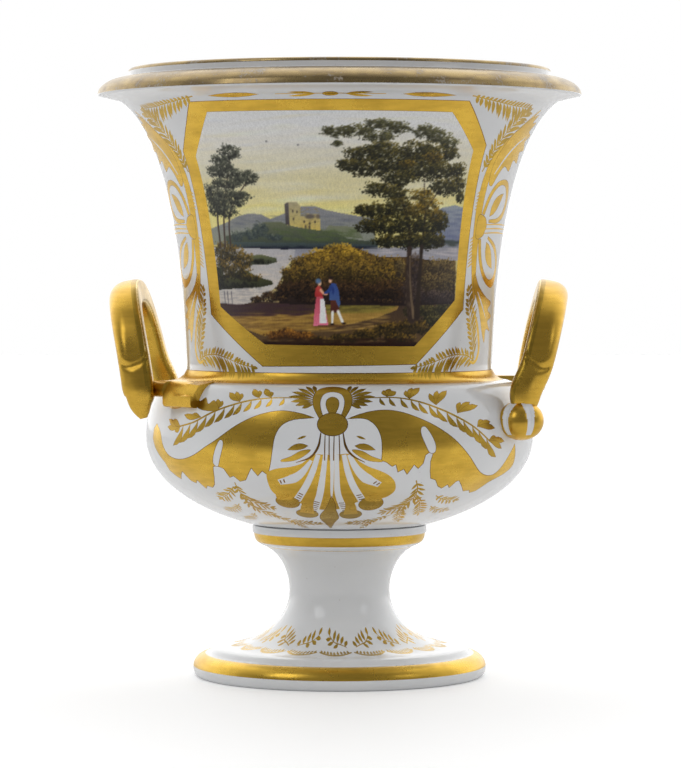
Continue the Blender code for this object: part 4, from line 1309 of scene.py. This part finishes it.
def pigmentAt(canvas, x, s, shape):
    # The painting read between its dabs, and brought from the eye's scale to that of light
    column, row = (x - canvas.xs[0]) / canvas.step, (s - canvas.ss[0]) / canvas.step
    i = np.clip(column.astype(int), 0, len(canvas.xs) - 2)
    j = np.clip(row.astype(int), 0, len(canvas.ss) - 2)
    u, v = np.clip(column - i, 0, 1)[:, None], np.clip(row - j, 0, 1)[:, None]
    low = canvas.paint[j, i] * (1 - u) + canvas.paint[j, i + 1] * u
    high = canvas.paint[j + 1, i] * (1 - u) + canvas.paint[j + 1, i + 1] * u
    tone = np.clip((low * (1 - v) + high * v) / 255, 0, 1)
    light = np.where(tone <= 0.04045, tone / 12.92, ((tone + 0.055) / 1.055) ** 2.4)
    light = np.clip(light ** shape["contrast"] * shape["gain"], shape["darkest"], shape["lightest"])
    return np.concatenate([light, np.ones((len(light), 1))], 1)


def buildPanel(shape):
    panel = cutPanelGrid(shape)
    flat = np.empty(len(panel.data.vertices) * 3)
    panel.data.vertices.foreach_get("co", flat)
    x, s = flat[0::3], flat[1::3]
    pigment = panel.data.color_attributes.new("pigment", "FLOAT_COLOR", "POINT")
    pigment.data.foreach_set("color", pigmentAt(paintLandscape(shape), x, s, shape).astype(np.float32).ravel())
    panel.data.vertices.foreach_set("co", wrapped(bodyOutline, x, s, shape["lift"]).ravel())
    panel.data.update()
    closeSkin(panel)
    if panel.data.polygons[len(panel.data.polygons) // 2].normal.y > 0:
        panel.data.flip_normals()
    bpy.ops.object.shade_smooth()
    panel.data.materials.append(enamelFinish())
    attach(panel, "root")
    print("panel:", len(panel.data.polygons), "faces")


buildPanel(panelShape)


# Foot: standing ring, gilt roll, sprigged slope, waisted stem and gilt collar
footShape = {"radius": 0.0771, "bevel": 0.0029, "edge": 0.0048, "roll": 0.0072, "filletStep": 0.0036,
             "filletHeight": 0.0028, "flareStep": 0.0027, "flareRise": 0.0300, "stem": 0.0263,
             "throatRise": 0.0252, "collar": 0.0458, "collarStep": 0.0042, "collarRoll": 0.0054,
             "collarFillet": 0.0042, "ringWidth": 0.0077, "wall": 0.0060, "collarFloor": 0.0080,
             "giltRoll": (0.0060, 0.0119, 0.0690), "giltCollar": (0.0702, 0.0756, 0.0430), "goldLine": 0.0683,
             "sprigs": 18, "firstSprig": 4}
footFinishNames = ["footGlaze", "gilt", "leafGilt"]


def footOutsidePoints(shape):
    # Three runs: ring and roll, drawn slope with the stem, collar
    roll = shape["radius"] - shape["roll"]
    fillet = shape["edge"] + shape["roll"]
    ridge = fillet + shape["filletHeight"]
    stem = ridge + shape["flareRise"]
    flare = roll - shape["filletStep"] - shape["flareStep"]
    throat = shape["collar"] - shape["collarStep"]
    collar = stem + shape["throatRise"]
    top = collar + shape["collarRoll"] + shape["collarFillet"]
    ring = ovalPoints((shape["radius"] - shape["bevel"], shape["edge"]), (shape["bevel"], shape["edge"]), -90, 0, 8)
    ring += ovalPoints((roll, shape["edge"]), (shape["roll"], shape["roll"]), 0, 90, 14)[1:]
    ring += [(roll - 0.0009, fillet + 0.0002), (roll - 0.0018, fillet + 0.0009), (roll - 0.0028, fillet + 0.0021),
             (roll - 0.0036, ridge - 0.0002), (roll - 0.0044, ridge)]
    slope = ovalPoints((flare, stem), (flare - shape["stem"], shape["flareRise"] - 0.0008), -92, -180, 40)
    slope += ovalPoints((throat + shape["collarStep"], stem), (shape["collar"] - shape["stem"], shape["throatRise"]),
        180, 104, 26)[1:]
    crown = ovalPoints((throat, collar + shape["collarRoll"]), (shape["collarStep"] - 0.0008, shape["collarRoll"]),
        -60, 0, 8)
    crown += [(shape["collar"] - 0.0003, collar + shape["collarRoll"] + 0.0002),
              (shape["collar"], collar + shape["collarRoll"] + 0.0006),
              (shape["collar"], top - 0.0004), (shape["collar"] - 0.0003, top), (0, top)]
    return ring, slope, crown


def footHollowPoints(shape):
    ring = shape["radius"] - shape["bevel"] - shape["ringWidth"]
    stem = shape["edge"] + shape["roll"] + shape["filletHeight"] + shape["flareRise"]
    bore = shape["stem"] - shape["wall"]
    top = stem + shape["throatRise"] + shape["collarRoll"] + shape["collarFillet"]
    dome = top - shape["collarFloor"] - bore / 2
    points = ovalPoints((0, dome), (bore, bore / 2), 90, 0, 10)
    points += ovalPoints((ring, stem), (ring - bore, shape["flareRise"] + shape["wall"]), 180, 250, 20)
    points += [(ring, shape["edge"]), (ring, 0.0006), (ring + 0.0006, 0)]
    return points


def footFinish(radius, height):
    for low, high, inner in (footShape["giltRoll"], footShape["giltCollar"]):
        if low < height < high and radius > inner:
            return "gilt"
    return "footGlaze"


def drawFoot(outline, shape):
    # Small sprigs round the slope that lean by turns, a garland under them and a thin line below the collar
    drawing = Drawing()
    line = float(np.interp(shape["goldLine"], outline["spots"][:, 1], outline["lengths"]))
    drawing.add(bandRound(line - 0.3, line + 0.3))
    for k in range(shape["sprigs"]):
        x = math.radians(360 / shape["sprigs"] * (k - shape["firstSprig"])) * wallTurning["arc"]
        lean = 1 if k % 2 else -1
        stem = [(x - 11 * lean, 17.4), (x - 5 * lean, 20), (x + 2 * lean, 22), (x + 9 * lean, 27.4)]
        drawing.add(ribbon(stem, (0.7, 1.1, 0.7)), "leafGilt")
        for base, tip in (((-9, 18), (-12.6, 23.4)), ((-5, 20), (-8.4, 27.0)), ((-1, 21.2), (-3.4, 29.6)),
                          ((3, 22.6), (1.6, 31.4)), ((8.6, 27), (10.6, 33)), ((-2, 20.8), (2.6, 16.4)),
                          ((3, 22.8), (9.4, 19.6)), ((6, 25), (12.6, 24.6))):
            drawing.add(leaf((x + base[0] * lean, base[1]), (x + tip[0] * lean, tip[1]), 3.6, 0.06, 0.55), "leafGilt")
        garland = [(x - 14.6, 11.4), (x - 7, 7.6), (x, 6.4), (x + 7, 7.6), (x + 14.6, 11.4)]
        drawing.add(ribbon(garland, (1.4, 2.4, 3.0, 2.4, 1.4)), "leafGilt")
        for step in range(-4, 5):
            base = (x + step * 3, 7 + abs(step) * 0.7)
            drawing.add(leaf(base, (base[0] + 1.4 * lean, 12.2 + abs(step) * 0.4), 2.2, 0.05), "leafGilt")
    return drawing


def buildFoot():
    ring, slope, crown = footOutsidePoints(footShape)
    under = footHollowPoints(footShape) + ring + slope[:1]
    over = slope[-1:] + crown
    outline = outlineTable(slope)
    parts = [drawnWall("vaseFoot", outline, drawFoot(outline, footShape), footFinishNames),
             spunShell("footRing", under, footFinishNames, footFinish),
             spunShell("footCollar", over, footFinishNames, footFinish)]
    piece = joinTurned(parts, "vaseFoot", [outlineTable(under[:-1]), outline, outlineTable(over[1:])])
    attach(piece, "root")
    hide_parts("foot")
    print("foot:", len(piece.data.polygons), "faces")


buildFoot()


# Handles: a leaning loop on each side, its front leg on a bud and its back leg in a strap along the shoulder
handleShape = {"halfSpan": 0.0500, "rise": 0.0754, "spring": 0.0260, "squareness": 2.6, "reach": 0.0098,
               "budLean": 0.85, "strapLean": 1.6, "leanIn": 0.0023, "leanAbove": 0.0150, "leanReach": 0.009,
               "width": 0.0164, "depth": 0.0130, "sides": 48, "ringGap": 0.0009, "smoothing": 6,
               "arrisPower": 0.36, "creaseRise": 0.0420, "creaseDepth": 0.0011, "creaseWidth": 0.0016,
               "tongue": 0.0042, "scoop": 0.0007, "ridge": 0.0013, "budRadius": 0.0120, "budHalfHeight": 0.0102,
               "budRise": 0.0108, "budStandoff": 0.0064, "petals": 5, "petalPinch": 0.11, "strapStandoff": 0.0098,
               "strapLift": 0.0008, "tipRise": 0.0115, "armLength": 0.0330, "armOverlap": 0.0030,
               "armHeight": 0.0082, "armEndDrop": 0.0050, "armEndSlope": 0.0034, "armEndLean": 0.0022,
               "armBlock": 0.4, "armSlopeFrom": 0.42, "armStandoff": 0.0052, "armEndStandoff": 0.0018,
               "armThickness": 0.0160, "armBevel": 0.0022, "backStart": 0.008, "backDrop": 0.0058,
               "cutterGap": 0.00015, "smoothAngle": 38}
handleFinishNames = ["handleGilt", "paintedArrisHighlight", "glaze", "leafGilt"]


def wallRadius(height):
    spots = bodyOutline["spots"]
    return float(np.interp(height, spots[:, 1], spots[:, 0]))


def loopEnds(shape):
    widest = bodyLevel["widest"]
    bud = math.sqrt((wallRadius(widest + shape["budRise"]) + shape["budStandoff"]) ** 2 - shape["halfSpan"] ** 2)
    tip = math.sqrt((wallRadius(widest + shape["tipRise"]) + shape["strapStandoff"]) ** 2 - shape["halfSpan"] ** 2)
    return {"bud": bud, "tip": tip, "bend": tip + shape["armEndStandoff"]}


def loopStations(shape):
    # Places and widths along the loop, from the bud at the front over the arch to the strap's tip
    ends = loopEnds(shape)
    widest = bodyLevel["widest"]
    spring, top = widest + shape["spring"], widest + shape["rise"]
    bud, tip = widest + shape["budRise"], widest + shape["tipRise"]
    reach = bodyShape["bowlRadius"] + shape["reach"]
    stations = []
    for share in np.linspace(0.1, 0.9, 9):
        height = bud + (spring - bud) * share
        lean = ((height - bud) / (top - bud)) ** shape["budLean"]
        width = float(np.interp(share, (0.1, 0.25, 0.5, 0.8), (0.34, 0.50, 0.84, 0.97)))
        stations.append((Vector((ends["bud"] + (reach - ends["bud"]) * lean, -shape["halfSpan"], height)), width))
    steps = 72
    for k in range(steps + 1):
        angle = math.pi * k / steps
        side = math.copysign(abs(math.cos(angle)) ** (2 / shape["squareness"]), math.cos(angle))
        height = spring + (top - spring) * max(math.sin(angle), 0) ** (2 / shape["squareness"])
        end, foot, power = ((ends["bud"], bud, shape["budLean"]) if k < steps / 2
                            else (ends["bend"], tip, shape["strapLean"]))
        lean = ((height - foot) / (top - foot)) ** power
        stations.append((Vector((end + (reach - end) * lean, -shape["halfSpan"] * side, height)), 1.0))
    for share in np.linspace(0.95, 0, 12):
        width = float(np.interp(share, (0, 0.12, 0.5, 0.9), (0.22, 0.42, 0.74, 0.98)))
        place = float(np.interp(share, (0, 0.5), (ends["tip"], ends["bend"])))
        stations.append((Vector((place, shape["halfSpan"], tip + (spring - tip) * share)), width))
    return stations


def evenStations(shape, stations):
    # The same path with rings at one spacing, its corners eased and its front leg leaning in a little over the bud
    places = np.array([tuple(p) + (w,) for p, w in stations])
    runs = np.concatenate([[0], np.cumsum(np.linalg.norm(np.diff(places[:, :3], axis=0), axis=1))])
    marks = np.linspace(0, runs[-1], int(runs[-1] / shape["ringGap"]) + 1)
    even = np.stack([np.interp(marks, runs, places[:, k]) for k in range(4)], 1)
    for _ in range(shape["smoothing"]):
        even[1:-1] = even[1:-1] * 0.5 + (even[:-2] + even[2:]) * 0.25
    above = even[:, 2] - (bodyLevel["widest"] + shape["budRise"] + shape["leanAbove"])
    even[:, 0] -= np.where(even[:, 1] < 0, shape["leanIn"] * np.exp(-(above / shape["leanReach"]) ** 2), 0)
    return [(Vector(row[:3]), float(row[3])) for row in even]


def strandRing(shape, stations, i):
    # Round on its outer side and flat towards the vase; below the crease of a leg its sides have a ridge,
    # and above it a scoop
    centre, width = stations[i]
    along = (stations[min(i + 1, len(stations) - 1)][0] - stations[max(i - 1, 0)][0]).normalized()
    outward = Vector((1, 0, -0.2))
    outward = (outward - along * outward.dot(along)).normalized()
    across = along.cross(outward).normalized()
    ring = []
    for k in range(shape["sides"]):
        angle = math.tau * (k + 0.5) / shape["sides"]
        power = 1.0 if math.cos(angle) > 0 else shape["arrisPower"]
        u = math.copysign(abs(math.cos(angle)) ** power, math.cos(angle))
        v = math.copysign(abs(math.sin(angle)) ** power, math.sin(angle))
        place = centre + outward * (u * shape["width"] * width / 2) + across * (v * shape["depth"] * width / 2)
        leg = abs(centre.y) / shape["halfSpan"]
        away = (across * v).dot(Vector((0, math.copysign(1, centre.y), 0)))
        if leg > 0.8 and away > 0:
            crease = bodyLevel["widest"] + shape["creaseRise"] - shape["tongue"] * (1 - (u - 0.05) ** 2)
            gap = (centre.z - crease) / shape["creaseWidth"]
            press = shape["creaseDepth"] * math.exp(-gap * gap)
            above = 1 / (1 + math.exp(-gap * 1.6))
            press += above * shape["scoop"] * math.exp(-((u + 0.05) / 0.35) ** 2) * math.exp(-(max(gap, 0) / 9) ** 2)
            press -= (1 - above) * shape["ridge"] * max(0.0, 1 - abs(u + 0.25) / 0.75) * min(1, width)
            press += (1 - above) * shape["ridge"] * 0.5 * min(1, width)
            place -= across * math.copysign(1, v) * press * min(1, away * 1.4)
        ring.append(place)
    return ring


def extrudedAlong(name, rings):
    # A filled ring, extruded from one station to the next and fitted to each
    pickOnly()
    bpy.ops.mesh.primitive_circle_add(vertices=len(rings[0]), radius=0.01, fill_type="NGON")
    piece = namedNew(name)
    editWhole(piece)
    shape = bmesh.from_edit_mesh(piece.data)
    for vert, place in zip(list(shape.verts), rings[0]):
        vert.co = place
    for before, after in zip(rings, rings[1:]):
        bpy.ops.mesh.extrude_region_move()
        shape = bmesh.from_edit_mesh(piece.data)
        follow = {tuple(round(c, 7) for c in old): new for old, new in zip(before, after)}
        for vert in [v for v in shape.verts if v.select]:
            place = follow.get(tuple(round(c, 7) for c in vert.co))
            if place is None:
                place = min(zip(before, after), key=lambda pair: (pair[0] - vert.co).length)[1]
            vert.co = place
    shape = bmesh.from_edit_mesh(piece.data)
    ends = [v for v in shape.verts if any((v.co - p).length < 1e-6 for p in rings[0])]
    if not any(len(f.verts) == len(rings[0]) and all(v in ends for v in f.verts) for f in shape.faces):
        loop = [min(ends, key=lambda v: (v.co - p).length) for p in rings[0]]
        shape.faces.new(loop)
    bmesh.update_edit_mesh(piece.data)
    closeSkin(piece)
    wear(piece, handleFinishNames)
    return piece


def armSections(shape):
    # The strap's arm follows the shoulder round, with a step down where its second block begins
    top = bodyLevel["shoulder"] + shape["strapLift"]
    tipRadius = wallRadius(bodyLevel["widest"] + shape["tipRise"]) + shape["strapStandoff"]
    start = math.asin(shape["halfSpan"] / tipRadius) - shape["armOverlap"] / bodyShape["bowlRadius"]
    sweep = (shape["armLength"] + shape["armOverlap"]) / bodyShape["bowlRadius"]
    sections = []
    for share in (0, 0.1, 0.2, 0.3, 0.385, 0.4, 0.405, 0.42, 0.5, 0.6, 0.7, 0.8, 0.9, 0.97, 1):
        angle = start + sweep * share
        second = share > shape["armBlock"]
        bottom = top - shape["armHeight"] - (shape["armEndDrop"] if second else 0)
        standoff = shape["armStandoff"] + (shape["armEndStandoff"] - shape["armStandoff"]) * share
        outer = bodyShape["bowlRadius"] + standoff
        inner = outer - shape["armThickness"]
        bevel = shape["armBevel"]
        slope = shape["armEndSlope"] * max(0.0, share - shape["armSlopeFrom"]) / (1 - shape["armSlopeFrom"])
        lean = shape["armEndLean"] if second else 0.0
        corners = [(inner, top), (outer - bevel * 1.6 - lean, top - slope * 0.5),
                   (outer - bevel * 0.9 - lean, top - bevel * 0.25 - slope),
                   (outer - bevel * 0.25 - lean, top - bevel - slope),
                   (outer - lean * 0.8, top - bevel * 1.8 - slope), (outer, (top + bottom) / 2 - 0.0006),
                   (outer, bottom + bevel * 0.8), (outer - bevel * 0.3, bottom + bevel * 0.25),
                   (outer - bevel, bottom), (inner, bottom)]
        sections.append([Vector((r * math.cos(angle), r * math.sin(angle), z)) for r, z in corners])
    return sections


def budPiece(name, shape):
    # A bud of gilt petals with the white glaze left between them
    centre = Vector((loopEnds(shape)["bud"], -shape["halfSpan"], bodyLevel["widest"] + shape["budRise"]))
    pickOnly()
    bpy.ops.mesh.primitive_uv_sphere_add(segments=150, ring_count=60, radius=shape["budRadius"])
    piece = namedNew(name)
    editWhole(piece)
    bpy.ops.transform.resize(value=(1, 1, shape["budHalfHeight"] / shape["budRadius"]))
    bpy.ops.object.mode_set(mode="OBJECT")
    facing = math.atan2(-shape["halfSpan"], centre.x)

    def petalWave(place):
        return abs(math.cos(shape["petals"]
            * (math.atan2(place.y, place.x) - facing) / 2)), place.z / shape["budHalfHeight"]

    for vert in piece.data.vertices:
        wave, level = petalWave(vert.co)
        pinch = shape["petalPinch"] * (1 - wave) ** 1.4 * max(0.0, 1 - level ** 4)
        vert.co.x *= 1 - pinch
        vert.co.y *= 1 - pinch
    wear(piece, handleFinishNames)
    for face in piece.data.polygons:
        wave, level = petalWave(face.center)
        gilded = wave > 0.44 + 0.62 * max(0.0, level) ** 2 or level < -0.72
        face.material_index = handleFinishNames.index("handleGilt" if gilded else "glaze")
    for vert in piece.data.vertices:
        vert.co += centre
    return piece


def shoulderCutter(shape):
    # The body's own outline a hair inside the wall, which trims the handles where they meet it
    low, high = bodyLevel["widest"] - 0.02, bodyLevel["neck"] + 0.03
    spots = [(r - shape["cutterGap"], z) for r, z in bodyOutline["spots"] if low < z < high]
    outline = [(0, spots[0][1])] + spots[::2] + [(0, spots[-1][1])]
    return spunShell("shoulderCutter", outline, handleFinishNames, lambda radius, height: "glaze")


def carve(piece, other, operation):
    change = piece.modifiers.new(operation.lower(), "BOOLEAN")
    change.object = other
    change.operation = operation
    change.solver = "EXACT"
    pickOnly(piece)
    bpy.ops.object.modifier_apply(modifier=change.name)


def paintLoop(loop, stations, shape):
    # Painted highlight in brighter gold on the arrises either side of the flat face towards the vase, and painted
    # shade in darker leaf gilt on that face
    inward = Vector((-1, 0, 0.2)).normalized()
    for face in loop.data.polygons:
        near = min(range(0, len(stations), 3), key=lambda i: (stations[i][0] - face.center).length_squared)
        offset = face.center - stations[near][0]
        side = offset.dot(inward)
        edge = (offset - inward * side).length
        # Painted highlight: the arrises get the brighter gold
        if side > 0.43 * shape["width"] and edge > 0.42 * shape["depth"]:
            face.material_index = handleFinishNames.index("paintedArrisHighlight")
        # Painted shade: the darker leaf gilt on the face towards the vase stands in for the shade on it
        elif side > 0.3 * shape["width"]:
            face.material_index = handleFinishNames.index("leafGilt")


def buildHandles(shape):
    stations = evenStations(shape, loopStations(shape))
    loop = extrudedAlong("handleRight", [strandRing(shape, stations, i) for i in range(len(stations))])
    paintLoop(loop, stations, shape)
    arm = extrudedAlong("strapArm", armSections(shape))
    bud = budPiece("frontBud", shape)
    cutter = shoulderCutter(shape)
    for other, operation in ((arm, "UNION"), (bud, "UNION"), (cutter, "DIFFERENCE")):
        carve(loop, other, operation)
        bpy.data.objects.remove(other)
    pickOnly(loop)
    bpy.ops.object.shade_smooth_by_angle(angle=math.radians(shape["smoothAngle"]))
    bpy.ops.object.duplicate()
    twin = namedNew("handleLeft")
    editWhole(twin)
    bpy.ops.transform.rotate(value=math.pi, orient_axis="Z", center_override=(0, 0, 0))
    bpy.ops.object.mode_set(mode="OBJECT")
    # The right handle's arm at the back stays below the shoulder
    top = bodyLevel["shoulder"] + shape["strapLift"] - shape["backDrop"]
    for vert in loop.data.vertices:
        if vert.co.y > shape["halfSpan"] + shape["backStart"]:
            vert.co.z = min(vert.co.z, top)
    for piece, node in ((loop, "handle_right"), (twin, "handle_left")):
        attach(piece, "root")
        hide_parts(node)
        print(piece.name, len(piece.data.polygons), "faces")


buildHandles(handleShape)


# Floor
def layFloor(settings):
    pickOnly()
    bpy.ops.mesh.primitive_circle_add(vertices=96, radius=settings["floorRadius"], fill_type="NGON",
        location=(0, 0, 0))
    floor = namedNew("studioFloor")
    finish, tree, shader = newFinish("paleFloor")
    seen = tree.nodes.new("ShaderNodeLightPath").outputs["Is Camera Ray"]
    pale = mixNode(tree, rangeNode(tree, noiseNode(tree, 3.0, 2.0), 0.3, 0.7), settings["floorColour"],
        settings["floorCloud"])
    shade = rangeNode(tree, splitPlace(tree, "Object")["Y"], settings["floorShadeFrom"], settings["floorShadeTo"],
                      settings["floorFrontShade"], settings["floorBackShade"])
    feed(tree, shader.inputs["Base Color"], mixNode(tree, seen, shade, pale))
    feed(tree, shader.inputs["Emission Strength"], mathNode(tree, "MULTIPLY", seen, settings["floorGlow"]))
    feed(tree, shader.inputs["Emission Color"], settings["white"])
    feed(tree, shader.inputs["Roughness"], 0.6)
    floor.data.materials.append(finish)


layFloor(studio)
